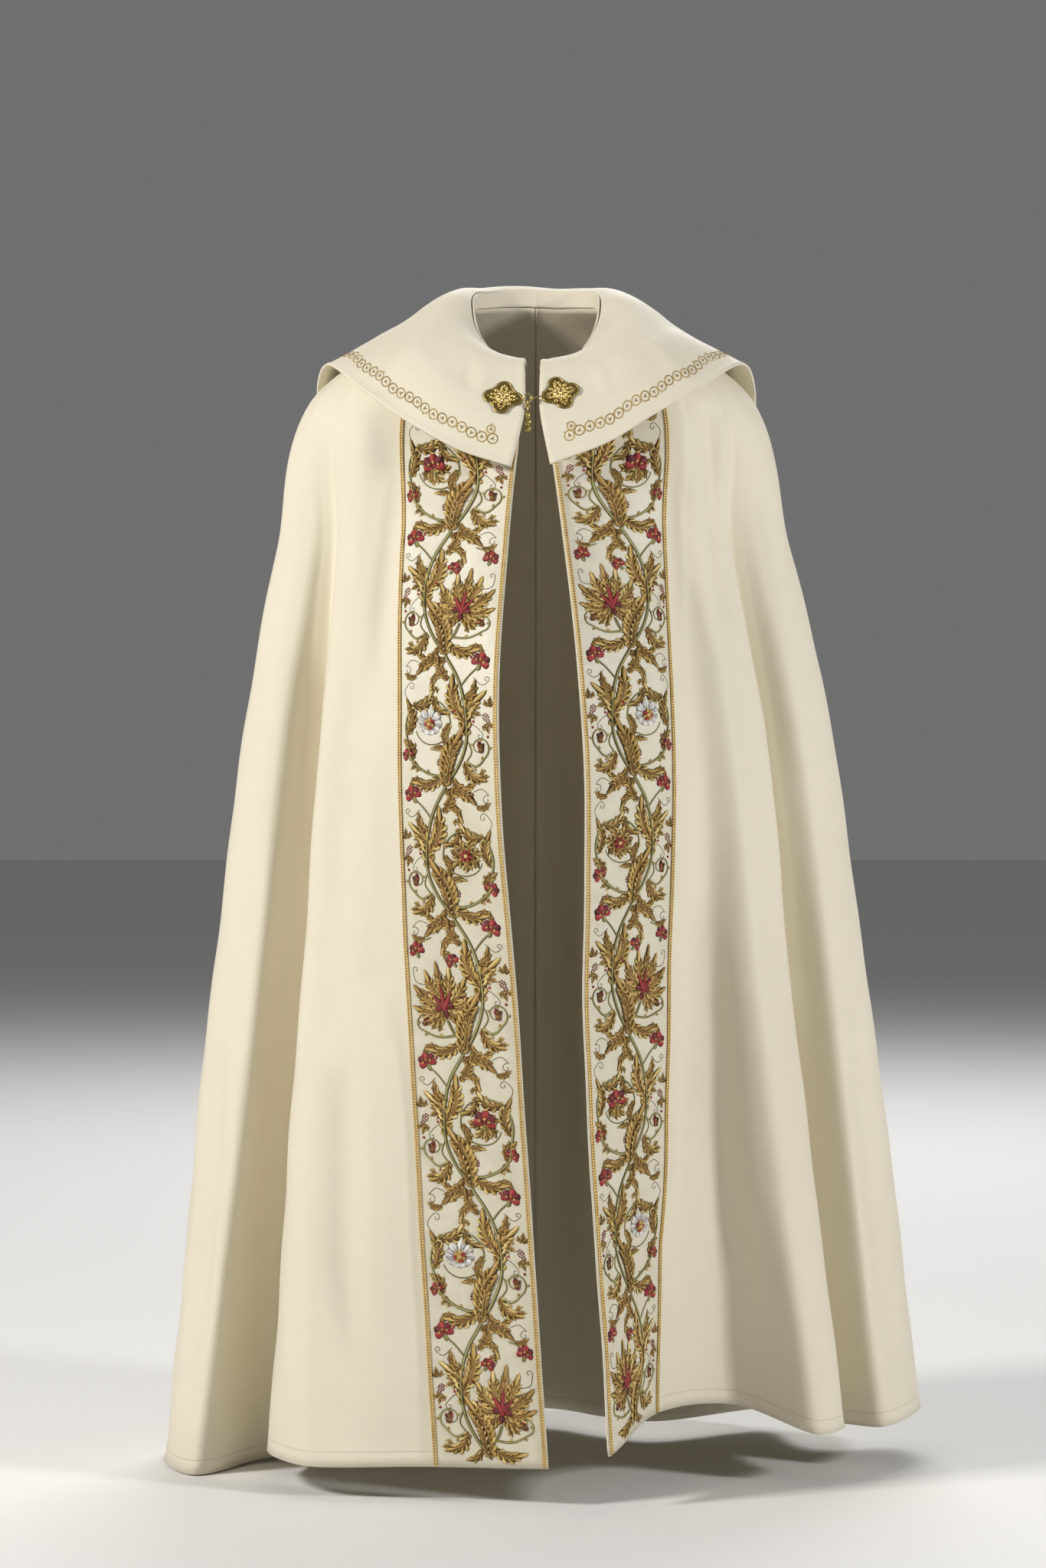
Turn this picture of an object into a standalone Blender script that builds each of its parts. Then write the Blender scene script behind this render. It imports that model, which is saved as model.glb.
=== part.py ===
"""A cope: a long open cloak held at the throat by a clasp, worn, in metres with +Z up.

The front faces -Y. Left is -X, the viewer's left. The origin is the base of the neck, where the
shoulders carry the cloak. The cloth is drawn by its fall lines, each running from the neck over
the shoulder to the hem along one crest, side or valley of a fold.
"""

import math
from collections import namedtuple

import bmesh
import bpy
import numpy as np
from mathutils import Matrix, Vector

CLOTH = 0.0018  # the cope's wall
BAND_WALL = 0.0012  # an embroidered band's wall
COLLAR_WALL = 0.0026
NECKBAND_WALL = 0.0020
SEAM = 0.0004  # between pieces that lie on or beside each other

BRAID_WIDTH = 0.0052
BRAID_HEIGHT = 0.0022
BRAID_INSET = 0.0031  # from the band's edge to the braid's middle
# Across the braid as shares of its width, and out as shares of its height.
BRAID_SECTION = ((-0.50, 0.0), (0.50, 0.0), (0.44, 0.65), (0.0, 1.0), (-0.44, 0.65))

# The neck seam is an oval round the wearer's neck, higher behind than in front.
NECK_HALF_WIDTH = 0.078
NECK_FRONT = 0.070
NECK_BACK = 0.075
# Degrees run from the front by the left side to the back.
NeckHeight = namedtuple("NeckHeight", "degrees seam stand")
NECK_HEIGHTS = (
    NeckHeight(0, -0.067, 0.005),
    NeckHeight(34, -0.056, 0.006),
    NeckHeight(60, -0.032, 0.010),
    NeckHeight(90, 0.008, 0.018),
    NeckHeight(135, 0.021, 0.021),
    NeckHeight(180, 0.025, 0.022),
)

# How far the cloth has flared from the shoulder to the hem at the levels between them.
CHEST_Z, WAIST_Z, KNEE_Z = -0.270, -0.500, -0.830
CHEST_FLARE, WAIST_FLARE, KNEE_FLARE = 0.28, 0.495, 0.713
# A point of each fall line on top of the shoulder, between the neck and the shoulder's edge.
TOP_OUT, TOP_DOWN = 0.58, 0.40

# Columns across a band, as shares of its width, with a narrow one under each braid.
BAND_SHARES = (0.0, 0.045, 0.35, 0.65, 0.955)

Fall = namedtuple("Fall", "name neck_degrees shoulder chest waist knee hem steps")
# Steps are the facets from this fall line to the next, going round by the left and the back.
LEFT_FALLS = (
    Fall(
        "edge", 8, (-0.016, -0.112, -0.115),
        (-0.033, -0.165), (-0.045, -0.235), (-0.022, -0.250),
        (0.013, -0.260, -1.358), BAND_SHARES,
    ),
    Fall(
        "band side", 40, (-0.149, -0.088, -0.085),
        (-0.161, -0.110), (-0.164, -0.162), (-0.151, -0.196),
        (-0.120, -0.221, -1.362), 3,
    ),
    Fall(
        "fold crest", 60, (-0.200, -0.070, -0.080),
        (-0.223, -0.082), (-0.241, -0.115), (-0.260, -0.140),
        (-0.271, -0.185, -1.367), 3,
    ),
    Fall(
        "fold side", 70, (-0.217, -0.060, -0.080),
        (-0.238, -0.065), (-0.258, -0.085), (-0.284, -0.090),
        (-0.325, -0.060, -1.368), 2,
    ),
    Fall(
        "fold back", 76, (-0.224, -0.053, -0.080),
        (-0.240, -0.046), (-0.252, -0.047), (-0.267, -0.032),
        (-0.302, 0.012, -1.385), 2,
    ),
    Fall(
        "valley", 80, (-0.230, -0.047, -0.080),
        (-0.245, -0.037), (-0.254, -0.024), (-0.265, 0.003),
        (-0.288, 0.070, -1.392), 2,
    ),
    Fall(
        "outer front", 84, (-0.238, -0.038, -0.080),
        (-0.257, -0.034), (-0.279, -0.032), (-0.306, -0.016),
        (-0.338, 0.055, -1.398), 2,
    ),
    Fall(
        "outer crest", 89, (-0.252, -0.018, -0.080),
        (-0.277, -0.028), (-0.313, -0.044), (-0.347, -0.046),
        (-0.412, -0.040, -1.402), 2,
    ),
    Fall(
        "side", 97, (-0.260, 0.012, -0.080),
        (-0.315, 0.004), (-0.355, 0.004), (-0.397, 0.020),
        (-0.452, 0.036, -1.402), 3,
    ),
)
# The folds behind flare evenly, so their places between the shoulder and the hem are worked out.
BACK_FALLS = (
    Fall("left crest 1", 113, (-0.238, 0.064, -0.080), None, None, None, (-0.447, 0.160, -1.397), 3),
    Fall("left valley 1", 128, (-0.200, 0.096, -0.080), None, None, None, (-0.340, 0.176, -1.391), 4),
    Fall("left crest 2", 143, (-0.150, 0.119, -0.080), None, None, None, (-0.306, 0.312, -1.386), 4),
    Fall("left valley 2", 161, (-0.085, 0.131, -0.080), None, None, None, (-0.150, 0.236, -1.382), 4),
    Fall("centre", 180, (0.000, 0.136, -0.080), None, None, None, (0.000, 0.352, -1.380), 4),
    Fall("right valley 2", 199, (0.085, 0.131, -0.080), None, None, None, (0.146, 0.240, -1.380), 4),
    Fall("right crest 2", 217, (0.150, 0.119, -0.080), None, None, None, (0.300, 0.326, -1.376), 4),
    Fall("right valley 1", 232, (0.198, 0.096, -0.080), None, None, None, (0.350, 0.194, -1.364), 3),
    Fall("right crest 1", 247, (0.230, 0.066, -0.080), None, None, None, (0.460, 0.205, -1.352), 3),
)
RIGHT_FALLS = (
    Fall(
        "side", 263, (0.249, 0.018, -0.080),
        (0.310, 0.022), (0.363, 0.040), (0.413, 0.060),
        (0.478, 0.100, -1.342), 2,
    ),
    Fall(
        "outer crest", 271, (0.241, -0.014, -0.080),
        (0.270, -0.012), (0.320, -0.016), (0.364, -0.012),
        (0.424, 0.002, -1.350), 2,
    ),
    Fall(
        "outer front", 276, (0.228, -0.034, -0.080),
        (0.250, -0.018), (0.288, -0.010), (0.328, 0.004),
        (0.376, 0.040, -1.352), 2,
    ),
    Fall(
        "valley", 280, (0.219, -0.043, -0.080),
        (0.236, -0.020), (0.267, -0.005), (0.296, 0.016),
        (0.338, 0.056, -1.350), 2,
    ),
    Fall(
        "fold back", 284, (0.213, -0.050, -0.080),
        (0.232, -0.031), (0.265, -0.028), (0.299, -0.016),
        (0.351, -0.004, -1.345), 2,
    ),
    Fall(
        "fold side", 290, (0.205, -0.058, -0.080),
        (0.235, -0.045), (0.276, -0.060), (0.310, -0.060),
        (0.372, -0.060, -1.341), 2,
    ),
    Fall(
        "fold crest", 299, (0.188, -0.068, -0.080),
        (0.213, -0.071), (0.243, -0.099), (0.270, -0.114),
        (0.335, -0.110, -1.342), 3,
    ),
    Fall(
        "panel valley", 309, (0.166, -0.079, -0.081),
        (0.184, -0.085), (0.197, -0.112), (0.207, -0.100),
        (0.243, -0.054, -1.315), 3,
    ),
    Fall(
        "band side", 320, (0.143, -0.089, -0.085),
        (0.157, -0.103), (0.163, -0.148), (0.154, -0.150),
        (0.144, -0.144, -1.311), BAND_SHARES,
    ),
    Fall(
        "edge", 357, (0.010, -0.112, -0.115),
        (0.031, -0.165), (0.054, -0.235), (0.055, -0.250),
        (0.084, -0.270, -1.342), 0,
    ),
)
FALLS = LEFT_FALLS + BACK_FALLS + RIGHT_FALLS
BAND_STEPS = len(BAND_SHARES)
# Facets down a fall line, between the neck, the shoulder's top, its edge, chest, waist, knee and hem.
STEPS_DOWN = (2, 2, 3, 3, 4, 5)
BAND_TOP = STEPS_DOWN[0] + STEPS_DOWN[1]  # the bands start at the shoulder's edge, under the collar

# The collar hangs from its roll, which stands above and outside the neckband.
COLLAR_OUT = 0.0008  # from the neckband's outer face to the collar's first row
ROLL_OUT, ROLL_UP = 0.011, 0.005
Hang = namedtuple("Hang", "name neck_degrees middle edge steps")
COLLAR_HANGS = (
    Hang("left front edge", 8, (-0.0135, -0.131, -0.115), (-0.030, -0.156, -0.190), 3),
    Hang("left breast", 30, (-0.073, -0.121, -0.098), (-0.098, -0.147, -0.166), 3),
    Hang("left band side", 48, (-0.114, -0.094, -0.058), (-0.152, -0.124, -0.134), 3),
    Hang("left arm front", 68, (-0.147, -0.058, -0.024), (-0.207, -0.086, -0.094), 3),
    Hang("left shoulder", 88, (-0.170, -0.008, -0.009), (-0.256, -0.014, -0.054), 3),
    Hang("left arm back", 110, (-0.169, 0.050, -0.005), (-0.270, 0.064, -0.092), 3),
    Hang("left blade", 135, (-0.138, 0.098, -0.021), (-0.214, 0.148, -0.152), 3),
    Hang("left back", 158, (-0.072, 0.124, -0.026), (-0.112, 0.184, -0.196), 3),
    Hang("back", 180, (0.000, 0.132, -0.028), (0.000, 0.194, -0.208), 3),
    Hang("right back", 202, (0.072, 0.124, -0.026), (0.112, 0.186, -0.198), 3),
    Hang("right blade", 225, (0.138, 0.098, -0.021), (0.216, 0.150, -0.160), 3),
    Hang("right arm back", 250, (0.171, 0.049, -0.004), (0.270, 0.068, -0.112), 3),
    Hang("right shoulder", 272, (0.172, -0.004, -0.009), (0.258, 0.000, -0.056), 3),
    Hang("right arm front", 292, (0.144, -0.058, -0.022), (0.199, -0.087, -0.088), 3),
    Hang("right band side", 312, (0.105, -0.096, -0.055), (0.141, -0.125, -0.125), 3),
    Hang("right breast", 331, (0.062, -0.122, -0.097), (0.083, -0.148, -0.160), 3),
    Hang("right front edge", 357, (0.0035, -0.131, -0.113), (0.016, -0.156, -0.187), 0),
)
COLLAR_STEPS_DOWN = (2, 4, 4)  # stand to roll, roll to middle, middle to edge

# The clasp: two plates of four round lobes on the collar's front corners, a ring and a hook.
PLATE_HALF = 0.0235
PLATE_WALL = 0.0020
PLATE_SEAT = 0.0008  # from the collar to the middle of a plate's flat back
PLATE_POINTS = 48
LOBE_RADIUS = 0.0098
INNER_CORNER = 0.92  # how far the corners between the lobes reach, as a share of a square's
RIM_SIDE, RIM_TOP, RIM_FOOT = (1.0, 0.7), (0.94, 1.0), (0.86, 0.8)  # shares of half and wall
BOSS_RADIUS = 0.0075
BOSS_HEIGHT = 0.0040
BOSS_TOP = 0.55  # the boss's flat top, as a share of its radius
LEFT_PLATE_AT, LEFT_PLATE_TURN = (-0.0400, -0.1055), -8
RIGHT_PLATE_AT, RIGHT_PLATE_TURN = (0.0285, -0.1000), 20
RING_RADIUS = 0.0048
RING_WIRE = 0.0008
RING_POINTS = 20
HANG_Y = -0.1355  # where the ring and what hangs from it lie
RING_AT = (-0.0105, -0.1065)
EYE_RADIUS = 0.0021  # the eye on the left plate's tip, round the ring's wire
EYE_WIRE = 0.0006
EYE_POINTS = 14
HOOK_RADIUS = 0.0022
HOOK_WIRE = 0.0008
HOOK_ROOT = (0.0095, -0.1050)
HOOK_LIFT = 0.0006  # from the plate's face to the underside of the hook's root
HOOK_DEGREES = range(90, 331, 30)  # the bend round the ring's wire
LINK_COUNT = 3
LINK_HALF_WIDTH = 0.0018
LINK_HALF_LENGTH = 0.0026
LINK_WIRE = 0.0005
LINK_POINTS = 12
WIRE_SIDES = 6
LINK_PITCH = 2 * LINK_HALF_LENGTH - 2 * LINK_WIRE - SEAM
DROP_BOSSES = (0.0030, 0.0042, 0.0045)  # half widths, from the top down
DROP_BOSS_PITCH = 0.0078
DROP_NECK = 0.0021
DROP_FLATNESS = 0.45
DROP_SIDES = 12
DROP_SHARES = (-0.9, -0.5, 0.0, 0.5, 0.9)  # rings down a boss, as shares of its half height

Paint = namedtuple("Paint", "color roughness metallic")
IVORY_WOOL = Paint((0.78, 0.70, 0.54), 0.75, 0.0)
CREAM_SATIN = Paint((0.82, 0.77, 0.66), 0.55, 0.0)
GOLD_THREAD = Paint((0.62, 0.42, 0.12), 0.40, 0.6)
GILT = Paint((0.83, 0.64, 0.16), 0.25, 1.0)


def clear_scene():
    for obj in list(bpy.data.objects):
        bpy.data.objects.remove(obj, do_unlink=True)


def blended(knots, values, at):
    """The smooth curve through values at knots, read at the places given."""
    knots, values, at = (np.asarray(v, float) for v in (knots, values, at))
    gaps = np.diff(knots)
    slopes = np.diff(values, axis=0) / gaps.reshape([-1] + [1] * (values.ndim - 1))
    tangents = np.empty_like(values)
    tangents[0], tangents[-1] = slopes[0], slopes[-1]
    share = (gaps[1:] / (gaps[1:] + gaps[:-1])).reshape([-1] + [1] * (values.ndim - 1))
    tangents[1:-1] = share * slopes[:-1] + (1 - share) * slopes[1:]
    i = np.clip(np.searchsorted(knots, at, "right") - 1, 0, len(gaps) - 1)
    shape = [-1] + [1] * (values.ndim - 1)
    width = gaps[i].reshape(shape)
    s = ((at - knots[i]) / gaps[i]).reshape(shape)
    return (
        (2 * s**3 - 3 * s**2 + 1) * values[i]
        + (s**3 - 2 * s**2 + s) * width * tangents[i]
        + (3 * s**2 - 2 * s**3) * values[i + 1]
        + (s**3 - s**2) * width * tangents[i + 1]
    )


def divided(knots, steps):
    """The knots with a number of equal steps from each to the next, or steps at the shares given."""
    parts = []
    for a, b, step in zip(knots, knots[1:], steps):
        shares = np.array(step) if isinstance(step, tuple) else np.arange(step) / step
        parts.append(a + (b - a) * shares)
    return np.concatenate(parts + [knots[-1:]])


def neck_heights(degrees):
    """The neck seam's height and the neckband's stand at places round the neck, as two columns."""
    degrees = np.asarray(degrees, float)
    rows = np.array(NECK_HEIGHTS, float)
    return blended(rows[:, 0], rows[:, 1:], np.where(degrees > 180, 360 - degrees, degrees))


def neck_point(degrees, out=0.0):
    """A point of the neck seam, moved out."""
    a = math.radians(degrees)
    depth = NECK_FRONT if math.cos(a) > 0 else NECK_BACK
    x = -(NECK_HALF_WIDTH + out) * math.sin(a)
    y = -(depth + out) * math.cos(a)
    return np.array([x, y, neck_heights([degrees])[0, 0]])


def neckband_top(degrees, out, up):
    """A point at the neckband's upper edge, moved out and up."""
    return neck_point(degrees, out) + (0, 0, neck_heights([degrees])[0, 1] + up)


def fall_points(fall):
    """The points that a fall line passes through, from the neck down."""
    neck = neck_point(fall.neck_degrees)
    shoulder, hem = np.array(fall.shoulder), np.array(fall.hem)
    top = neck + (shoulder - neck) * (TOP_OUT, TOP_OUT, TOP_DOWN)
    between = []
    for place, flare, z in (
        (fall.chest, CHEST_FLARE, CHEST_Z),
        (fall.waist, WAIST_FLARE, WAIST_Z),
        (fall.knee, KNEE_FLARE, KNEE_Z),
    ):
        x, y = place or tuple(shoulder[:2] + flare * (hem - shoulder)[:2])
        between.append((x, y, z))
    return np.array([neck, top, shoulder, *between, hem])


def draped(lines, steps_down, steps_round, evenness):
    """A smooth surface through lines of points, as rows down by columns round.

    The columns are spaced by the gaps between the lines' feet, raised to the evenness.
    """
    fallen = np.linalg.norm(np.diff(lines, axis=1), axis=2).mean(axis=0)
    down = np.concatenate([[0], np.cumsum(fallen)])
    rows = blended(down, lines.transpose(1, 0, 2), divided(down, steps_down))
    gaps = np.linalg.norm(np.diff(lines[:, -1], axis=0), axis=1)
    round_it = np.concatenate([[0], np.cumsum(gaps**evenness)])
    surface = blended(round_it, rows.transpose(1, 0, 2), divided(round_it, steps_round))
    return surface.transpose(1, 0, 2)


def cope_surface():
    """The cope's outer surface."""
    lines = np.stack([fall_points(fall) for fall in FALLS])
    return draped(lines, STEPS_DOWN, [fall.steps for fall in FALLS[:-1]], 0.5)


def collar_surface():
    """The collar's outer surface, from the neckband over the roll to its edge."""
    lines = []
    for hang in COLLAR_HANGS:
        stand = neckband_top(hang.neck_degrees, COLLAR_OUT, SEAM)
        roll = neckband_top(hang.neck_degrees, ROLL_OUT, ROLL_UP)
        lines.append(np.array([stand, roll, hang.middle, hang.edge]))
    steps = [hang.steps for hang in COLLAR_HANGS[:-1]]
    return draped(np.stack(lines), COLLAR_STEPS_DOWN, steps, 1.0)


def outward(surface):
    """The unit normals of a grid of points, pointing away from the wearer."""
    round_it = np.gradient(surface, axis=1)
    down = np.gradient(surface, axis=0)
    normals = np.cross(round_it, down)
    return normals / np.linalg.norm(normals, axis=2, keepdims=True)


def material(name, paint):
    made = bpy.data.materials.new(name)
    made.use_nodes = True
    shader = made.node_tree.nodes["Principled BSDF"]
    shader.inputs["Base Color"].default_value = (*paint.color, 1)
    shader.inputs["Roughness"].default_value = paint.roughness
    shader.inputs["Metallic"].default_value = paint.metallic
    made.diffuse_color = (*paint.color, 1)
    return made


def finished(name, mesh, paint):
    """The object of a mesh, smooth but for its corners, with a material of its own."""
    bm = bmesh.new()
    bm.from_mesh(mesh)
    bmesh.ops.recalc_face_normals(bm, faces=bm.faces)
    bm.to_mesh(mesh)
    bm.free()
    mesh.shade_smooth()
    mesh.set_sharp_from_angle(angle=math.radians(40))
    mesh.materials.append(material(name + "_finish", paint))
    obj = bpy.data.objects.new(name, mesh)
    bpy.context.collection.objects.link(obj)
    return obj


def grid_wall(name, outer, inner, paint):
    """A closed wall between two grids of points of the same size."""
    rows, columns = outer.shape[:2]
    bm = bmesh.new()
    sides = [
        [[bm.verts.new(point) for point in row] for row in grid] for grid in (outer, inner)
    ]
    for r in range(rows - 1):
        for c in range(columns - 1):
            for side in sides:
                bm.faces.new((side[r][c], side[r][c + 1], side[r + 1][c + 1], side[r + 1][c]))
    rim = [(0, c) for c in range(columns)]
    rim += [(r, columns - 1) for r in range(1, rows)]
    rim += [(rows - 1, c) for c in range(columns - 2, -1, -1)]
    rim += [(r, 0) for r in range(rows - 2, 0, -1)]
    for (r, c), (r2, c2) in zip(rim, rim[1:] + rim[:1]):
        bm.faces.new((sides[0][r][c], sides[0][r2][c2], sides[1][r2][c2], sides[1][r][c]))
    mesh = bpy.data.meshes.new(name)
    bm.to_mesh(mesh)
    bm.free()
    return finished(name, mesh, paint)


def skin(name, rings, paint, closed=False):
    """A solid through rings of points, with its ends filled, or joined into a loop."""
    bm = bmesh.new()
    made = [[bm.verts.new(point) for point in ring] for ring in rings]
    around = len(made[0])
    following = made[1:] + made[:1] if closed else made[1:]
    for ring, after in zip(made, following):
        for i in range(around):
            j = (i + 1) % around
            bm.faces.new((ring[i], ring[j], after[j], after[i]))
    if not closed:
        bm.faces.new(made[0])
        bm.faces.new(made[-1])
    mesh = bpy.data.meshes.new(name)
    bm.to_mesh(mesh)
    bm.free()
    return finished(name, mesh, paint)


def facets(step):
    return len(step) if isinstance(step, tuple) else step


def cope_halves(surface, normals):
    """Two walls that meet at the back seam, along the fall line named centre."""
    names = [fall.name for fall in FALLS]
    middle = sum(facets(fall.steps) for fall in FALLS[: names.index("centre")])
    inner = surface - normals * CLOTH
    for name, span, seam_column, aside in (
        ("cope_half_left", slice(0, middle + 1), -1, -SEAM / 2),
        ("cope_half_right", slice(middle, None), 0, SEAM / 2),
    ):
        outer_part, inner_part = surface[:, span].copy(), inner[:, span].copy()
        outer_part[:, seam_column, 0] += aside
        inner_part[:, seam_column, 0] += aside
        grid_wall(name, outer_part, inner_part, IVORY_WOOL)


def bands(surface, normals):
    """The two embroidered bands, laid on the cope's first and last columns, and their braids."""
    for side, span in (("left", slice(0, BAND_STEPS + 1)), ("right", slice(-BAND_STEPS - 1, None))):
        points, out = surface[BAND_TOP:, span], normals[BAND_TOP:, span]
        top = points + out * (SEAM + BAND_WALL)
        grid_wall(f"orphrey_{side}", top, points + out * SEAM, CREAM_SATIN)
        edges = (0, -1) if side == "left" else (-1, 0)
        for place, column in zip(("inner", "outer"), edges):
            beside = 1 if column == 0 else -2
            across = top[:, beside] - top[:, column]
            across /= np.linalg.norm(across, axis=1, keepdims=True)
            flat = np.cross(across, np.gradient(top[:, column], axis=0))
            flat /= np.linalg.norm(flat, axis=1, keepdims=True)
            flat *= np.sign((flat * out[:, column]).sum(axis=1, keepdims=True))
            middle = top[:, column] + across * BRAID_INSET
            braid(f"braid_{side}_{place}", middle, across, flat)


def braid(name, middle, across, out):
    """A flat braid with a rounded top, laid along the line given."""
    rings = [
        [m + a * BRAID_WIDTH * x + o * (SEAM + BRAID_HEIGHT * y) for x, y in BRAID_SECTION]
        for m, a, o in zip(middle, across, out)
    ]
    skin(name, rings, GOLD_THREAD)


def neckband(seam):
    """The stand inside the collar, up from the cope's neck seam."""
    around = np.degrees(np.arctan2(-seam[:, 0], -seam[:, 1])) % 360
    stand = neck_heights(around)[:, 1]
    radial = seam * (1, 1, 0)
    radial /= np.linalg.norm(radial, axis=1, keepdims=True)
    up = np.array([0, 0, 1.0])
    outer = np.stack([seam + up * SEAM, seam + up * (stand - SEAM)[:, None]])
    grid_wall("neckband", outer, outer - radial * NECKBAND_WALL, IVORY_WOOL)


def facing(surface, x, z):
    """The collar's point and normal nearest to a place seen from the front."""
    normals = outward(surface)
    front = surface[:, :, 1] < 0
    far = np.hypot(surface[:, :, 0] - x, surface[:, :, 2] - z) + np.where(front, 0, 9)
    near = np.argsort(far, axis=None)[:4]
    r, c = np.unravel_index(near, far.shape)
    weight = 1 / (far[r, c] + 1e-6)
    weight /= weight.sum()
    normal = (normals[r, c] * weight[:, None]).sum(axis=0)
    normal /= np.linalg.norm(normal)
    point = (surface[r, c] * weight[:, None]).sum(axis=0)
    depth = point[1] - (normal[0] * (x - point[0]) + normal[2] * (z - point[2])) / normal[1]
    return Vector((x, depth, z)), Vector(normal)


def plate_outline():
    """Four round lobes on the axes of a square set on its corner."""
    reach = PLATE_HALF - LOBE_RADIUS
    outline = []
    for i in range(PLATE_POINTS):
        a = 2 * math.pi * i / PLATE_POINTS
        best = reach * INNER_CORNER / (abs(math.cos(a)) + abs(math.sin(a)))
        for k in range(4):
            off = a - k * math.pi / 2
            across = reach * math.sin(off)
            if abs(across) < LOBE_RADIUS and math.cos(off) > 0:
                hit = reach * math.cos(off) + math.sqrt(LOBE_RADIUS**2 - across**2)
                best = max(best, hit)
        outline.append((best * math.cos(a), best * math.sin(a)))
    return outline


def clasp_plate(name, at, turn, collar):
    """A stamped plate: a raised rim, a dished field and a boss, lying flat on the collar."""
    point, normal = facing(collar, *at)
    frame = normal.to_track_quat("Z", "Y").to_matrix().to_4x4()
    spin = Matrix.Rotation(math.radians(turn), 4, "Z")
    placed = Matrix.Translation(point + normal * PLATE_SEAT) @ frame @ spin
    outline = plate_outline()
    rings = []
    for scale, height in ((1.0, 0.0), RIM_SIDE, RIM_TOP, RIM_FOOT):
        rings.append([(x * scale, y * scale, height * PLATE_WALL) for x, y in outline])
    for radius, height in ((BOSS_RADIUS, PLATE_WALL), (BOSS_RADIUS * BOSS_TOP, BOSS_HEIGHT)):
        turns = [math.atan2(y, x) for x, y in outline]
        rings.append([(radius * math.cos(a), radius * math.sin(a), height) for a in turns])
    skin(name, [[placed @ Vector(corner) for corner in ring] for ring in rings], GILT)


def wire_rings(points, radius):
    """Rings of a round wire along points, kept from twisting."""
    points = [Vector(p) for p in points]
    rings = []
    side = None
    for i, point in enumerate(points):
        before, after = points[max(i - 1, 0)], points[min(i + 1, len(points) - 1)]
        along = (after - before).normalized()
        if side is None:
            side = along.orthogonal().normalized()
        side = (side - along * side.dot(along)).normalized()
        up = along.cross(side)
        turns = (2 * math.pi * k / WIRE_SIDES for k in range(WIRE_SIDES))
        rings.append([point + radius * (side * math.cos(t) + up * math.sin(t)) for t in turns])
    return rings


def loop_wire(name, middle, out, up, half_width, half_length, wire, points):
    """A closed link of wire, long along up and wide along out."""
    straight = half_length - half_width
    path = []
    for i in range(points):
        a = 2 * math.pi * (i + 0.5) / points
        rise = straight if math.sin(a) > 0 else -straight
        path.append(
            middle + out * half_width * math.cos(a) + up * (rise + half_width * math.sin(a))
        )
    side = out.cross(up)
    rings = []
    for i, point in enumerate(path):
        along = (path[(i + 1) % points] - path[i - 1]).normalized()
        across = along.cross(side)
        turns = (2 * math.pi * k / WIRE_SIDES for k in range(WIRE_SIDES))
        rings.append([point + wire * (side * math.cos(t) + across * math.sin(t)) for t in turns])
    return skin(name, rings, GILT, closed=True)


def fastening(collar):
    """The eye on the left plate, the ring in it, the right plate's hook, and the tail that hangs."""
    x_axis, y_axis, z_axis = Vector((1, 0, 0)), Vector((0, 1, 0)), Vector((0, 0, 1))
    ring = Vector((RING_AT[0], HANG_Y, RING_AT[1]))
    loop_wire(
        "clasp_ring", ring, x_axis, z_axis, RING_RADIUS, RING_RADIUS, RING_WIRE, RING_POINTS
    )
    eye = ring - x_axis * RING_RADIUS
    loop_wire("clasp_eye", eye, x_axis, y_axis, EYE_RADIUS, EYE_RADIUS, EYE_WIRE, EYE_POINTS)
    root, normal = facing(collar, *HOOK_ROOT)
    root += normal * (PLATE_SEAT + PLATE_WALL + HOOK_LIFT + HOOK_WIRE)
    bend = ring + x_axis * RING_RADIUS
    path = [root, root.lerp(bend + y_axis * HOOK_RADIUS, 0.5)]
    for degrees in HOOK_DEGREES:
        a = math.radians(degrees)
        path.append(bend + HOOK_RADIUS * (x_axis * math.cos(a) + y_axis * math.sin(a)))
    skin("clasp_hook", wire_rings(path, HOOK_WIRE), GILT)
    foot = ring - z_axis * RING_RADIUS
    top = foot + z_axis * (RING_WIRE + SEAM + LINK_WIRE)
    for i in range(LINK_COUNT):
        flat = y_axis if i % 2 == 0 else x_axis
        middle = top - z_axis * (LINK_HALF_LENGTH + i * LINK_PITCH)
        loop_wire(
            f"chain_link_{i + 1}",
            middle,
            flat,
            z_axis,
            LINK_HALF_WIDTH,
            LINK_HALF_LENGTH,
            LINK_WIRE,
            LINK_POINTS,
        )
    end = top - z_axis * ((LINK_COUNT - 1) * LINK_PITCH + 2 * LINK_HALF_LENGTH + LINK_WIRE + SEAM)
    clasp_drop(end)


def clasp_drop(top):
    """Three flat bosses in a row, one below the other."""
    rings = []
    for k, half in enumerate(DROP_BOSSES):
        for share in DROP_SHARES:
            width = max(half * math.sqrt(1 - share**2), DROP_NECK / 2)
            drop = DROP_BOSS_PITCH * (k + 0.5 + 0.5 * share)
            ring = []
            for i in range(DROP_SIDES):
                a = 2 * math.pi * i / DROP_SIDES
                depth = width * DROP_FLATNESS * math.sin(a)
                ring.append(top + Vector((width * math.cos(a), depth, -drop)))
            rings.append(ring)
    skin("clasp_drop", rings, GILT)


def build():
    clear_scene()
    surface = cope_surface()
    normals = outward(surface)
    cope_halves(surface, normals)
    bands(surface, normals)
    collar = collar_surface()
    grid_wall("collar", collar, collar - outward(collar) * COLLAR_WALL, IVORY_WOOL)
    neckband(surface[0])
    clasp_plate("clasp_plate_left", LEFT_PLATE_AT, LEFT_PLATE_TURN, collar)
    clasp_plate("clasp_plate_right", RIGHT_PLATE_AT, RIGHT_PLATE_TURN, collar)
    fastening(collar)


build()
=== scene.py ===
import math
from collections import namedtuple

import bmesh
import bpy
import numpy as np
from mathutils import Matrix, Vector


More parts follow.
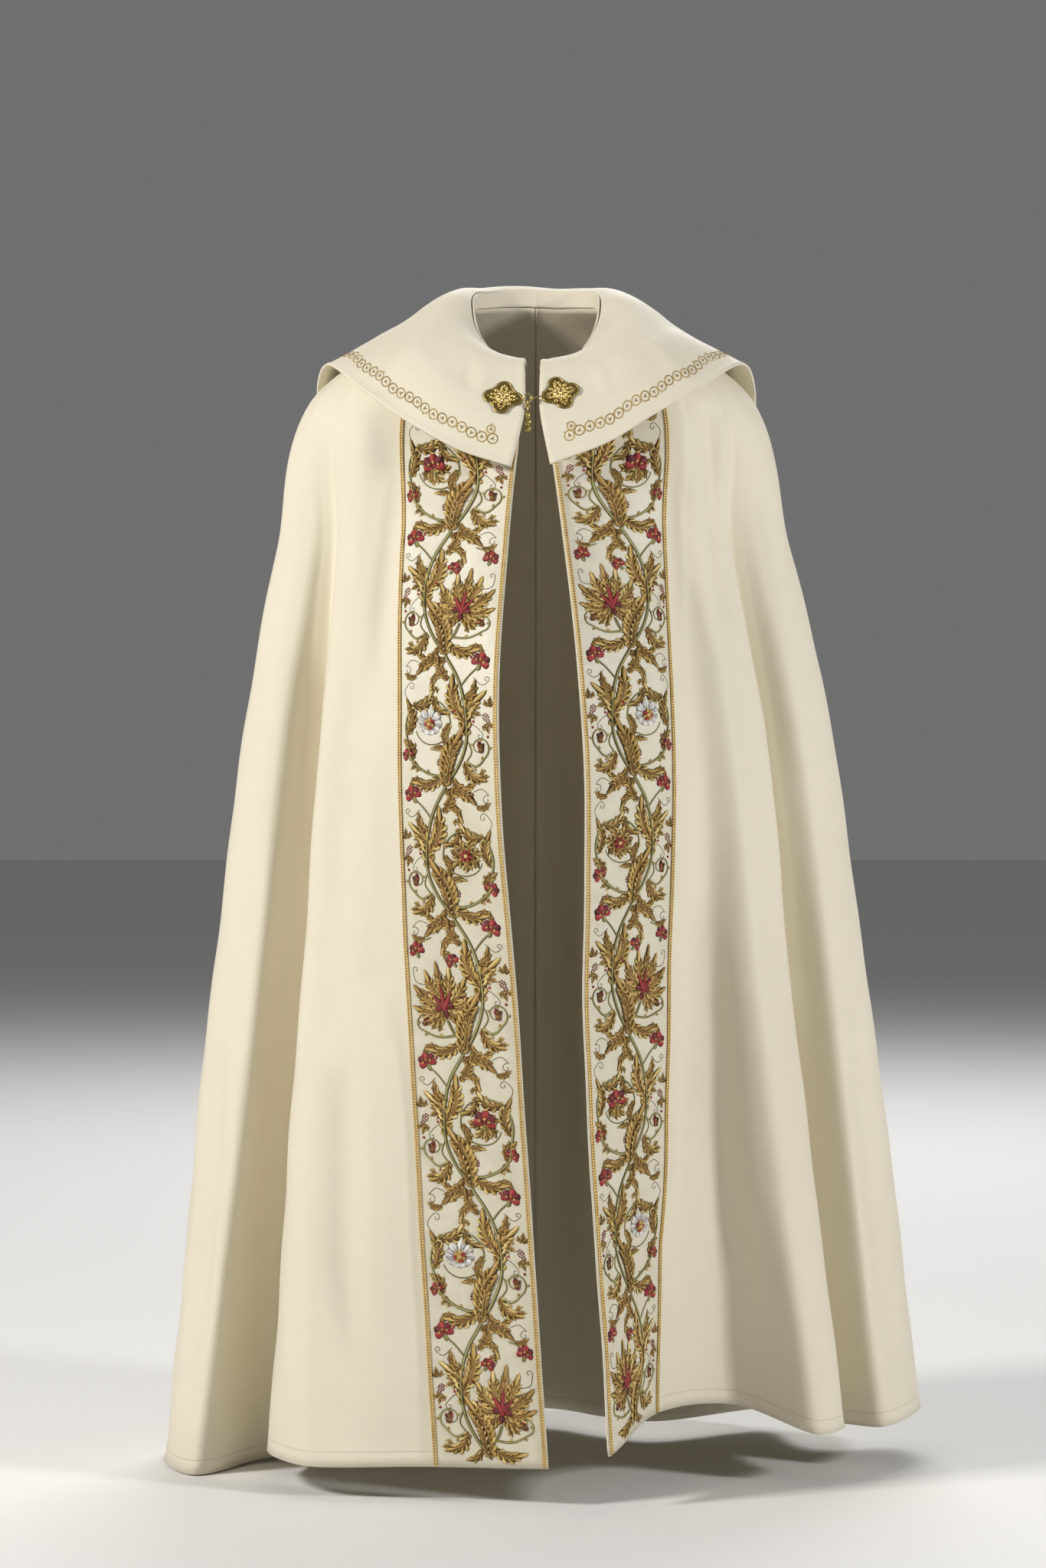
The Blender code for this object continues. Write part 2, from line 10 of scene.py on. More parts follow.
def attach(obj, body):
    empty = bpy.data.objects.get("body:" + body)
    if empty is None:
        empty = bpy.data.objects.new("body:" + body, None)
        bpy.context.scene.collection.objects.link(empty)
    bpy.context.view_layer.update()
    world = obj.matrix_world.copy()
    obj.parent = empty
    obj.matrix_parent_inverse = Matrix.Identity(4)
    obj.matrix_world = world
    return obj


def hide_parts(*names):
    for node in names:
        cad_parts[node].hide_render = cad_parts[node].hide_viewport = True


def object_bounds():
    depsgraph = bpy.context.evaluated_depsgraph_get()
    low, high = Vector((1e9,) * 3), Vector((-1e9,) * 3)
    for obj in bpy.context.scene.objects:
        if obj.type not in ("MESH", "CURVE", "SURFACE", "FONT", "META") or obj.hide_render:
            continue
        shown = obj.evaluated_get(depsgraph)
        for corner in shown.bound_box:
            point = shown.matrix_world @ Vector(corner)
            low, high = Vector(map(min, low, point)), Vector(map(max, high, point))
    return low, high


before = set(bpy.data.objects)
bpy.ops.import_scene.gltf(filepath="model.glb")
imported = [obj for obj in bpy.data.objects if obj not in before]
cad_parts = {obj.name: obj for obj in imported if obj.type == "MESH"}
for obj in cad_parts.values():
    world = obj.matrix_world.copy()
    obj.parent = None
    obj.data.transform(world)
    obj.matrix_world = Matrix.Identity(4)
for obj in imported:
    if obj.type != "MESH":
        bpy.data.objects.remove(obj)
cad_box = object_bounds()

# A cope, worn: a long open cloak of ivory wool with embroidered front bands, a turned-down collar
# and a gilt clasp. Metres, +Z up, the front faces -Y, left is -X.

MM = 0.001
CLOTH = 0.0018  # the cope's wall
BAND_WALL = 0.0012
COLLAR_WALL = 0.0026
NECKBAND_WALL = 0.0020
SEAM = 0.0004  # between pieces that lie on or beside each other
BRAID_INSET = 0.0031  # from the band's edge to the braid's middle
CORD_RADIUS = 0.00115  # each of a braid's two cords
CORD_ASIDE = 0.0013  # from the braid's middle to each cord's
CORD_TWIST, PALE_TWIST = 0.0034, 0.0015  # along each for one turn
CORD_STEP, CORD_SIDES = 0.0022, 7  # between the cord's rings of points, and round it
PALE_RADIUS, PALE_HIGH = 0.00055, 0.00095  # the line between the cords

# The neck seam is an oval round the wearer's neck, higher behind than in front.
NECK_HALF_WIDTH, NECK_FRONT, NECK_BACK = 0.078, 0.070, 0.075
# The tables are in millimetres. Degrees run from the front by the left side to the back.
# Round half the neck: degrees, the seam's height and the neckband's stand above it.
NECK_HEIGHTS = (
    (0, -67, 5), (34, -56, 6), (60, -32, 10), (90, 8, 18), (135, 21, 21), (180, 25, 22),
)

# The cloth at the chest, waist and knee: its flare, from 0 at the shoulder to 1 at the hem, and
# the level's height in metres.
FLARES = ((0.28, -0.270), (0.495, -0.500), (0.713, -0.830))
# A point of each fall line on top of the shoulder, between the neck and the shoulder's edge.
TOP_OUT, TOP_DOWN = 0.58, 0.40
SHOULDER_Z = -80  # where a line gives no height for its shoulder

Fall = namedtuple("Fall", "name neck_degrees shoulder hem chest waist knee", defaults=(None,) * 3)
LEFT_FALLS = (
    ("edge", 8, (-16, -112, -115), (13, -260, -1358), (-33, -165), (-45, -235), (-22, -250)),
    ("band", 40, (-149, -88, -85), (-120, -221, -1362), (-161, -110), (-164, -162), (-151, -196)),
    ("fold crest", 60, (-200, -70), (-271, -185, -1367), (-223, -82), (-241, -115), (-260, -140)),
    ("fold side", 70, (-217, -60), (-325, -60, -1368), (-238, -65), (-258, -85), (-284, -90)),
    ("fold back", 76, (-224, -53), (-302, 12, -1385), (-240, -46), (-252, -47), (-267, -32)),
    ("valley", 80, (-230, -47), (-288, 70, -1392), (-245, -37), (-254, -24), (-265, 3)),
    ("outer front", 84, (-238, -38), (-338, 55, -1398), (-257, -34), (-279, -32), (-306, -16)),
    ("outer crest", 89, (-252, -18), (-412, -40, -1402), (-277, -28), (-313, -44), (-347, -46)),
    ("side", 97, (-260, 12), (-452, 36, -1402), (-315, 4), (-355, 4), (-397, 20)),
)
# The folds behind flare evenly, so their places at the three levels are worked out.
BACK_FALLS = (
    ("left crest 1", 113, (-238, 64), (-447, 160, -1397)),
    ("left valley 1", 128, (-200, 96), (-340, 176, -1391)),
    ("left crest 2", 143, (-150, 119), (-306, 312, -1386)),
    ("left valley 2", 161, (-85, 131), (-150, 236, -1382)),
    ("centre", 180, (0, 136), (0, 352, -1380)),
    ("right valley 2", 199, (85, 131), (146, 240, -1380)),
    ("right crest 2", 217, (150, 119), (300, 326, -1376)),
    ("right valley 1", 232, (198, 96), (350, 194, -1364)),
    ("right crest 1", 247, (230, 66), (460, 205, -1352)),
)
RIGHT_FALLS = (
    ("side", 263, (249, 18), (478, 100, -1342), (310, 22), (363, 40), (413, 60)),
    ("outer crest", 271, (241, -14), (424, 2, -1350), (270, -12), (320, -16), (364, -12)),
    ("outer front", 276, (228, -34), (376, 40, -1352), (250, -18), (288, -10), (328, 4)),
    ("valley", 280, (219, -43), (338, 56, -1350), (236, -20), (267, -5), (296, 16)),
    ("fold back", 284, (213, -50), (351, -4, -1345), (232, -31), (265, -28), (299, -16)),
    ("fold side", 290, (205, -58), (372, -60, -1341), (235, -45), (276, -60), (310, -60)),
    ("fold crest", 299, (188, -68), (335, -110, -1342), (213, -71), (243, -99), (270, -114)),
    ("panel valley", 309, (166, -79, -81), (243, -54, -1315), (184, -85), (197, -112), (207, -100)),
    ("band", 320, (143, -89, -85), (144, -144, -1311), (157, -103), (163, -148), (154, -150)),
    ("edge", 357, (10, -112, -115), (84, -270, -1342), (31, -165), (54, -235), (55, -250)),
)
FALLS = [Fall(*row) for row in LEFT_FALLS + BACK_FALLS + RIGHT_FALLS]

# The collar hangs from its roll, which stands above and outside the neckband.
COLLAR_OUT = 0.0008  # from the neckband's outer face to the collar's first row
ROLL_OUT, ROLL_UP = 0.011, 0.005
# The collar's lines: name, degrees round the neck, a point half way down and one at the edge.
COLLAR_HANGS = (
    ("left front edge", 8, (-13.5, -131, -115), (-30, -156, -190)),
    ("left breast", 30, (-73, -121, -98), (-98, -147, -166)),
    ("left band side", 48, (-114, -94, -58), (-152, -124, -134)),
    ("left arm front", 68, (-147, -58, -24), (-207, -86, -94)),
    ("left shoulder", 88, (-170, -8, -9), (-256, -14, -54)),
    ("left arm back", 110, (-169, 50, -5), (-270, 64, -92)),
    ("left blade", 135, (-138, 98, -21), (-214, 148, -152)),
    ("left back", 158, (-72, 124, -26), (-112, 184, -196)),
    ("back", 180, (0, 132, -28), (0, 194, -208)),
    ("right back", 202, (72, 124, -26), (112, 186, -198)),
    ("right blade", 225, (138, 98, -21), (216, 150, -160)),
    ("right arm back", 250, (171, 49, -4), (270, 68, -112)),
    ("right shoulder", 272, (172, -4, -9), (258, 0, -56)),
    ("right arm front", 292, (144, -58, -22), (199, -87, -88)),
    ("right band side", 312, (105, -96, -55), (141, -125, -125)),
    ("right breast", 331, (62, -122, -97), (83, -148, -160)),
    ("right front edge", 357, (3.5, -131, -113), (16, -156, -187)),
)

# Creases: where each starts and ends, how far it stands out and how wide it is.
COPE_CREASES = (
    ((-205, -80, -120), (-232, -98, -420), 4.6, 20),
    ((-172, -100, -150), (-190, -140, -520), -5, 17),
    ((180, -85, -110), (205, -100, -400), 4.6, 18),
    ((205, -70, -110), (236, -70, -360), -8.4, 14),
    ((165, -100, -180), (176, -130, -560), -8.4, 22),
    ((-270, -20, -120), (-330, -30, -600), 4, 24),
    ((262, -6, -120), (330, -10, -560), 4, 24),
    ((-195, -180, -800), (-170, -215, -1330), 9, 34),
    ((-225, -165, -900), (-222, -200, -1350), -9.5, 26),
    ((176, -125, -700), (172, -118, -1250), -9.5, 24),
    ((240, -108, -620), (262, -90, -1150), 7.2, 26),
    ((-392, -10, -800), (-424, -20, -1350), -10.5, 26),
    ((395, 2, -760), (440, 30, -1300), -10.5, 28),
    ((60, 205, -420), (75, 300, -1250), -10.5, 26),
    ((-70, 200, -360), (-60, 310, -1200), -10.5, 24),
    ((215, 190, -400), (265, 290, -1250), 5.2, 22),
    ((-210, 185, -460), (-270, 275, -1300), 5.2, 22),
    ((236, -78, -290), (286, -92, -800), -8, 24),
    ((150, -130, -560), (158, -150, -1100), 6, 26),
    ((-215, -120, -420), (-250, -150, -900), -7, 26),
)
COLLAR_CREASES = (
    ((-58, -104, -55), (-66, -128, -120), 3.2, 7),
    ((-74, -94, -44), (-90, -120, -115), -2.6, 6),
    ((-40, -108, -66), (-46, -134, -130), -2.2, 6),
    ((70, -100, -50), (88, -126, -120), 2.4, 7),
    ((50, -110, -66), (56, -134, -126), -2, 6),
    ((-120, -60, -10), (-190, -92, -86), 3, 12),
    ((118, -60, -8), (184, -94, -82), 2.6, 12),
    ((-150, 20, 4), (-250, 30, -66), 2.4, 14),
    ((150, 30, 4), (250, 40, -74), -2.4, 14),
    ((-60, 112, -6), (-86, 170, -150), 3, 12),
    ((80, 106, -6), (118, 164, -150), -3, 13),
)
# Slow unevenness of cloth that hangs by its own weight: waves per metre along x, y and z, where
# each starts and how deep it is.
WAVES = (
    ((5.1, 3.3, 2.1), 0.7, 0.9),
    ((-7.7, 6.1, 1.3), 2.1, 0.6),
    ((11.3, -4.9, 4.7), 4.4, 0.4),
    ((3.1, 9.7, -6.3), 5.2, 0.4),
)
CALM_RADIUS = 0.031  # round a place where the cloth stays as it was drawn


def blended(knots, values, at):
    """The smooth curve through values at knots, read at the places given."""
    knots, values, at = (np.asarray(v, float) for v in (knots, values, at))
    gaps = np.diff(knots)
    slopes = np.diff(values, axis=0) / gaps.reshape([-1] + [1] * (values.ndim - 1))
    tangents = np.empty_like(values)
    tangents[0], tangents[-1] = slopes[0], slopes[-1]
    share = (gaps[1:] / (gaps[1:] + gaps[:-1])).reshape([-1] + [1] * (values.ndim - 1))
    tangents[1:-1] = share * slopes[:-1] + (1 - share) * slopes[1:]
    i = np.clip(np.searchsorted(knots, at, "right") - 1, 0, len(gaps) - 1)
    shape = [-1] + [1] * (values.ndim - 1)
    width = gaps[i].reshape(shape)
    s = ((at - knots[i]) / gaps[i]).reshape(shape)
    return (
        (2 * s**3 - 3 * s**2 + 1) * values[i]
        + (s**3 - 2 * s**2 + s) * width * tangents[i]
        + (3 * s**2 - 2 * s**3) * values[i + 1]
        + (s**3 - s**2) * width * tangents[i + 1]
    )


def neck_heights(degrees):
    """The neck seam's height and the neckband's stand at places round the neck, as two columns."""
    degrees = np.asarray(degrees, float)
    rows = np.array(NECK_HEIGHTS, float)
    half_way = np.where(degrees > 180, 360 - degrees, degrees)
    return blended(rows[:, 0], rows[:, 1:] * MM, half_way)


def neck_point(degrees, out=0.0):
    """A point of the neck seam, moved out."""
    a = math.radians(degrees)
    depth = NECK_FRONT if math.cos(a) > 0 else NECK_BACK
    x = -(NECK_HALF_WIDTH + out) * math.sin(a)
    y = -(depth + out) * math.cos(a)
    return np.array([x, y, neck_heights([degrees])[0, 0]])


def neckband_top(degrees, out, up):
    """A point at the neckband's upper edge, moved out and up."""
    return neck_point(degrees, out) + (0, 0, neck_heights([degrees])[0, 1] + up)


def fall_points(fall):
    """The points that a fall line passes through, from the neck down, in metres."""
    neck = neck_point(fall.neck_degrees)
    shoulder = np.array((*fall.shoulder, SHOULDER_Z)[:3]) * MM
    hem = np.array(fall.hem) * MM
    top = neck + (shoulder - neck) * (TOP_OUT, TOP_OUT, TOP_DOWN)
    between = []
    for place, (flare, z) in zip((fall.chest, fall.waist, fall.knee), FLARES):
        even = shoulder + flare * (hem - shoulder)
        between.append((*(np.array(place) * MM if place else even[:2]), z))
    return np.array([neck, top, shoulder, *between, hem])


def unit(vectors):
    """The vectors with a length of 1 each."""
    return vectors / np.linalg.norm(vectors, axis=-1, keepdims=True)


def ways(path):
    """The way that a path runs at each of its points."""
    return unit(np.gradient(path, axis=0))


def distances(path):
    """How far along a path each of its points lies."""
    return np.concatenate([[0], np.cumsum(np.linalg.norm(np.diff(path, axis=0), axis=1))])


def bell(away, width):
    """1 at no distance, falling to 0 beyond the width."""
    return np.exp(-((away / width) ** 2))


def outward(points):
    """The unit normals of a grid of points, pointing away from the wearer."""
    return unit(np.cross(np.gradient(points, axis=1), np.gradient(points, axis=0)))


def lengths(points, axis):
    """How far each point of a grid lies along its row or column, in metres."""
    steps = np.linalg.norm(np.diff(points, axis=axis), axis=2)
    pad = [(0, 0), (0, 0)]
    pad[axis] = (1, 0)
    return np.pad(np.cumsum(steps, axis=axis), pad)


def spread(knots, counts):
    """The knots with equal steps between them, as many as the counts say."""
    parts = [a + (b - a) * np.arange(n) / n for a, b, n in zip(knots, knots[1:], counts)]
    return np.concatenate(parts + [knots[-1:]])


def sampled(grid, row, column):
    """A grid's values between its points."""
    row = np.clip(row, 0, grid.shape[0] - 1.001)
    column = np.clip(column, 0, grid.shape[1] - 1.001)
    r, c = row.astype(int), column.astype(int)
    down, over = row - r, column - c
    if grid.ndim == 3:
        down, over = down[:, None], over[:, None]
    above = grid[r, c] * (1 - over) + grid[r, c + 1] * over
    below = grid[r + 1, c] * (1 - over) + grid[r + 1, c + 1] * over
    return above * (1 - down) + below * down


def worn(points, creases, calm=()):
    """The points of a cloth moved out or in by its creases and its slow unevenness.

    Round the calm places, seen from the front, the cloth stays as it was drawn.
    """
    moved = np.zeros(points.shape[:2])
    for start, end, depth, width in creases:
        start, end = np.array(start) * MM, np.array(end) * MM
        along = end - start
        share = np.clip(((points - start) @ along) / (along @ along), 0, 1)
        away = np.linalg.norm(points - start - share[..., None] * along, axis=2)
        moved += depth * MM * bell(away, width * MM) * np.sin(math.pi * share) ** 0.5
    for along, start, depth in WAVES:
        moved += depth * MM * np.sin(2 * math.pi * (points @ np.array(along)) + start)
    for x, z in calm:
        away = np.hypot(points[..., 0] - x, points[..., 2] - z)
        calmed = np.exp(-((away / CALM_RADIUS) ** 4))
        moved *= 1 - np.where(points[..., 1] < 0, calmed, 0)
    return points + outward(points) * moved[..., None]


class Drape:
    """A cloth surface drawn by lines from its top to its edge, read at any fineness."""

    def __init__(self, lines, evenness, creases, calm=()):
        self.lines = lines
        self.creases, self.calm = creases, calm
        fallen = np.linalg.norm(np.diff(lines, axis=1), axis=2).mean(axis=0)
        self.down = np.concatenate([[0], np.cumsum(fallen)])
        gaps = np.linalg.norm(np.diff(lines[:, -1], axis=0), axis=1)
        self.around = np.concatenate([[0], np.cumsum(gaps**evenness)])

    def read(self, down, around):
        rows = blended(self.down, self.lines.transpose(1, 0, 2), down)
        points = blended(self.around, rows.transpose(1, 0, 2), around).transpose(1, 0, 2)
        return worn(points, self.creases, self.calm)


def collar_lines():
    lines = []
    for _, degrees, middle, edge in COLLAR_HANGS:
        stand = neckband_top(degrees, COLLAR_OUT, SEAM)
        roll = neckband_top(degrees, ROLL_OUT, ROLL_UP)
        lines.append(np.array([stand, roll, np.array(middle) * MM, np.array(edge) * MM]))
    return np.stack(lines)


def mesh_of(bm, name):
    """A mesh of what was built, which is freed."""
    mesh = bpy.data.meshes.new(name)
    bm.to_mesh(mesh)
    bm.free()
    return mesh


def flat_grid(name, rows, columns, size=1):
    bm = bmesh.new()
    bmesh.ops.create_grid(bm, x_segments=columns - 1, y_segments=rows - 1, size=size)
    return mesh_of(bm, name)


def grid_mesh(name, points, **kept):
    """A mesh of a grid, its vertices moved to the points given, with named values kept on them."""
    rows, columns = points.shape[:2]
    mesh = flat_grid(name, rows, columns)
    flat = read_points(mesh)
    column = np.rint((flat[:, 0] + 1) / 2 * (columns - 1)).astype(int)
    row = np.rint((flat[:, 1] + 1) / 2 * (rows - 1)).astype(int)
    write_points(mesh, points[row, column])
    for key, values in kept.items():
        kind, field = ("FLOAT", "value") if values.ndim == 2 else ("FLOAT_VECTOR", "vector")
        layer = mesh.attributes.new(key, kind, "POINT")
        layer.data.foreach_set(field, values[row, column].astype(np.float32).ravel())
    return mesh


def read_points(mesh):
    flat = np.empty(len(mesh.vertices) * 3, np.float32)
    mesh.vertices.foreach_get("co", flat)
    return flat.reshape(-1, 3).astype(float)


def write_points(mesh, points):
    mesh.vertices.foreach_set("co", points.astype(np.float32).ravel())
    mesh.update()


def linked(name, data):
    obj = bpy.data.objects.new(name, data)
    bpy.context.collection.objects.link(obj)
    return obj


def piece(name, mesh, finishes, body="cope", stands_for=(), smooth=True):
    """An object of the mesh, with its finishes, that rides on a body."""
    obj = linked(name, mesh)
    for finish in finishes:
        mesh.materials.append(finish)
    if smooth:
        mesh.shade_smooth()
    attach(obj, body)
    if stands_for:
        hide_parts(*stands_for)
    return obj


def thickened(obj, wall):
    """Gives cloth its real thickness, its second side towards the wearer."""
    solid = obj.modifiers.new("wall", "SOLIDIFY")
    solid.thickness, solid.offset = wall, -1


def cut(points):
    """How far each point lies round and down the cloth, and out of it, in metres."""
    around, down = lengths(points, 1), lengths(points, 0)
    around = around - around.mean(axis=1, keepdims=True)
    return np.stack([around, down, np.zeros_like(down)], axis=2)


def hem_distance(points):
    down = lengths(points, 0)
    return down[-1] - down


# Facets down between the points of the fall lines, and round between the lines.
COPE_FACETS_DOWN = (8, 8, 18, 22, 30, 44)
BACK_FACETS = 16
FRONT_FACETS = 12
BAND_FACETS = 28
BACK_SEAM_GAP = 0.00004
SEAM_PRESS, SEAM_PRESS_WIDTH = 0.0009, 0.004
HEM_ROLL, HEM_ROLL_WIDTH = 0.0005, 0.006
NEAR_SEAM = (-0.030, -0.012, 0.012, 0.030)  # the extra columns beside the back seam


def cope_points(drape):
    """The cope's outer surface, its middle column and how far each point is from the back seam."""
    centre = [fall.name for fall in FALLS].index("centre")
    left, right = len(LEFT_FALLS) - 2, len(RIGHT_FALLS) - 2
    counts = [BAND_FACETS] + [FRONT_FACETS] * left + [BACK_FACETS] * (len(BACK_FALLS) + 1)
    counts += [FRONT_FACETS] * right + [BAND_FACETS]
    near_seam = drape.around[centre] + np.array(NEAR_SEAM)
    around = np.sort(np.concatenate([spread(drape.around, counts), near_seam]))
    middle = sum(counts[:centre]) + len(NEAR_SEAM) // 2
    points = drape.read(spread(drape.down, COPE_FACETS_DOWN), around)
    off_seam = np.abs(lengths(points, 1) - lengths(points, 1)[:, [middle]])
    pressed = SEAM_PRESS * bell(off_seam, SEAM_PRESS_WIDTH)
    turned = HEM_ROLL * bell(hem_distance(points), HEM_ROLL_WIDTH)
    return points + outward(points) * (turned - pressed)[..., None], middle, off_seam


def cope_cloth(points, middle, off_seam, finish):
    """The two halves of the cope, joined by a pressed seam down the middle of the back."""
    where, hem = cut(points), hem_distance(points)
    for side, span, seam_column, aside in (
        ("left", slice(0, middle + 1), -1, -BACK_SEAM_GAP / 2),
        ("right", slice(middle, None), 0, BACK_SEAM_GAP / 2),
    ):
        half = points[:, span].copy()
        half[:, seam_column, 0] += aside
        kept = {"cut": where[:, span], "hem": hem[:, span], "seam": off_seam[:, span]}
        mesh = grid_mesh(f"cope_{side}", half, **kept)
        node = f"cope_half_{side}"
        cloth = piece(f"cope_cloth_{side}", mesh, [finish], stands_for=[node])
        thickened(cloth, CLOTH)


def heading(turn):
    """The way that a turn in degrees points: 0 is up the band, 90 is to the right."""
    a = math.radians(turn)
    return np.array([math.sin(a), -math.cos(a)])


def curve(points, count):
    """A smooth path through points."""
    points = np.array(points, float)
    knots = distances(points)
    return blended(knots, points, np.linspace(0, knots[-1], count))


def curl(centre, start, turns, end_radius, count):
    """A spiral that starts at a point and closes in on a centre. Turns may be negative."""
    centre, start = np.array(centre, float), np.array(start, float)
    x, y = start - centre
    share = np.linspace(0, 1, count)
    a = math.atan2(y, x) + 2 * math.pi * turns * share
    r = math.hypot(x, y) + (end_radius - math.hypot(x, y)) * share**0.85
    return centre + np.stack([r * np.cos(a), r * np.sin(a)], axis=1)


def rod(share):
    """The same width along the whole run. The shapes below narrow it towards its ends."""
    return np.ones_like(share)


def lobe(share):
    return np.sin(math.pi * share**0.8) ** 0.8


def petal(share):
    return np.sin(math.pi * share**1.7) ** 0.7


def thinning(share):
    return 1 - 0.65 * share


def beside(way, hand):
    """Square to a way, on one side of it for 1 and on the other for -1."""
    return np.array([way[1], -way[0]]) * hand


def ball_places(points):
    """How far each point of a ball is from pole to pole, and how far across and up its ring."""
    girth = np.hypot(points[:, 0], points[:, 1])
    pole = girth < 1e-5
    girth = np.where(pole, 1, girth)
    share = np.arccos(np.clip(points[:, 2], -1, 1)) / math.pi
    return share, np.where(pole, 0, points[:, 0] / girth), np.where(pole, 0, points[:, 1] / girth)


class Ball:
    """A closed round shape that each run of stitches is drawn out from."""

    made = {}

    def __init__(self, sides, rings):
        bm = bmesh.new()
        bmesh.ops.create_uvsphere(bm, u_segments=sides, v_segments=rings, radius=1)
        self.mesh = mesh_of(bm, f"ball_{sides}_{rings}")
        self.points = read_points(self.mesh)
        self.share, self.across, self.up = ball_places(self.points)

    @classmethod
    def of(cls, sides, rings):
        if (sides, rings) not in cls.made:
            cls.made[sides, rings] = cls(sides, rings)
        return cls.made[sides, rings]


GOLDEN_SHARE = 0.6180339  # spreads the shades of runs that follow each other
UNDERSIDE = 0.35  # how far a run goes into its ground, for a height of 1


class Needlework:
    """Raised stitches worked flat in millimetres: x across, y down and z up from the ground."""

    def __init__(self):
        self.bm = bmesh.new()
        self.kept = self.bm.verts.layers.float_vector.new("stitch")
        self.worked = 0

    def laid(self, ball, thread, place, along, across):
        """Adds a ball with its points moved to their places and its faces in their thread."""
        verts, faces = len(self.bm.verts), len(self.bm.faces)
        self.bm.from_mesh(ball.mesh)
        self.bm.verts.ensure_lookup_table()
        self.bm.faces.ensure_lookup_table()
        seed = (self.worked * GOLDEN_SHARE) % 1
        rows = zip(self.bm.verts[verts:], place.tolist(), along.tolist(), across.tolist())
        for vert, at, a, c in rows:
            vert.co = at
            vert[self.kept] = (a, c, seed)
        index = list(THREADS).index(thread)
        for face in self.bm.faces[faces:]:
            face.material_index = index
            face.smooth = True
        self.worked += 1

    def run(self, path, width, thread, height, shape, sides=6, rise=0.0, pace=2.4):
        """One padded run of stitches along a path, closed all round."""
        path = np.asarray(path, float)
        along = distances(path)
        length = along[-1]
        ball = Ball.of(sides, max(3, int(round(length / pace)) + 1))
        drawn = (*path.T, *ways(path).T)
        x, y, wx, wy = (np.interp(ball.share, along / length, line) for line in drawn)
        profile = shape(ball.share)
        aside = ball.across * profile * width / 2
        z = rise + height * np.maximum(ball.up, -UNDERSIDE) * profile**0.5
        place = np.stack([x + wy * aside, y - wx * aside, z], axis=1)
        self.laid(ball, thread, place, ball.share * length, ball.across)

    def knot(self, at, radius, thread, rise=0.0):
        """A round knot or bead."""
        ball = Ball.of(6, 4)
        place = ball.points * (radius, radius, radius * 0.75) + (*at, rise)
        self.laid(ball, thread, place, ball.points[:, 0] * radius, ball.points[:, 1] * 0.6)


# The thread of a leaf's lit side.
LIGHTER = {
    "gold": "bright gold", "old gold": "gold", "bright gold": "gold",
    "red": "dark red", "dark red": "red",
}
RIB_STEPS = 28
DAISY_PETALS = 9
BERRY_ROWS = (2, 3, 3, 2, 2)
# Pairs of leaves: turn, length, bend and the threads of both.
PALMETTE_LEAVES = (
    (112, 0.62, 0.20, "old gold", "old gold"),
    (78, 0.84, 0.16, "gold", "bright gold"),
    (46, 0.98, 0.10, "old gold", "gold"),
    (18, 1.04, 0.06, "gold", "bright gold"),
)


def leaf(work, root, tip, bend, breadth, thread, lobes, rise=0.0):
    """An acanthus leaf: a darker ground, pairs of lobes swept towards its tip, and a rib."""
    root, tip = np.array(root, float), np.array(tip, float)
    span = tip - root
    across = np.array([-span[1], span[0]]) * bend
    bent = [root, root + span * 0.5 + across, root + span * 0.86 + across * 0.30, tip]
    rib = curve(bent, RIB_STEPS)
    way = ways(rib)
    height = 0.8 + breadth * 0.05
    work.run(rib, breadth * 0.80, "old gold", 0.35, lobe, 5, rise, 4.5)
    for i in range(lobes):
        share = 0.06 + 0.74 * i / lobes
        at = int(share * (RIB_STEPS - 1))
        full = math.sin(math.pi * (share * 0.85 + 0.17)) ** 0.8
        reach = breadth * 0.66 * full
        for hand in (-1, 1):
            out = beside(way[at], hand)
            end = rib[at] + (way[at] * 0.80 + out * 0.66) * reach
            elbow = rib[at] + (way[at] * 0.26 + out * 0.44) * reach
            width = max(breadth * 0.30, 2.6) * full
            side = LIGHTER[thread] if hand > 0 else thread
            work.run([rib[at], elbow, end], width, side, height, petal, 5, rise + 0.15, 4.4)
    work.run(rib[15:], breadth * 0.34, thread, height, petal, 5, rise + 0.2, 3.6)
    work.run(rib[1:24], 0.8, "brown", 0.5, thinning, 4, rise + height * 0.75, 4.0)


def spray(work, root, way, size, thread):
    """Three small leaves from one point."""
    for turn, far, bend in ((-42, 0.8, -0.16), (42, 0.8, 0.16), (0, 1.0, 0.04)):
        tip = np.array(root, float) + heading(way + turn) * size * far
        leaf(work, root, tip, bend, size * 0.50, thread, 2)


def daisy(work, at, radius, turn):
    at = np.array(at, float)
    for i in range(DAISY_PETALS):
        way = heading(turn + 360 * i / DAISY_PETALS)
        far = radius * (0.84 + 0.16 * math.cos(math.radians(360 * i / DAISY_PETALS)))
        root, tip = at + way * radius * 0.22, at + way * far
        work.run([root, tip], radius * 0.58, "silver", 1.1, petal, 8, 0, 1.6)
        root, tip = at + way * radius * 0.30, at + way * far * 0.82
        work.run([root, tip], 0.7, "tendril", 0.4, rod, 4, 0.9)
    for i in range(7):
        thread = "red" if i % 2 else "gold"
        work.knot(at + heading(turn + 51 * i) * radius * 0.24, radius * 0.14, thread, rise=1.0)
    work.knot(at, radius * 0.18, "bright gold", rise=1.4)


def blossom(work, at, size, turn):
    """A small red flower seen from its side, opening the way it is turned."""
    at = np.array(at, float)
    cup = [at - heading(turn) * size * 0.55, at + heading(turn) * size * 0.2]
    work.run(cup, size * 0.42, "green", 1.0, lobe)
    for i, far in zip((-2, 2, -1, 1, 0), (0.78, 0.78, 0.95, 0.95, 1.0)):
        way = heading(turn + 38 * i)
        thread = "dark red" if abs(i) == 1 else "red"
        work.run([at, at + way * size * far], size * 0.62, thread, size * 0.13, petal, 8, 0.1, 1.6)
    for i in (-1, 0, 1):
        work.knot(at + heading(turn + 50 * i) * size * 0.40, size * 0.11, "gold", rise=size * 0.14)


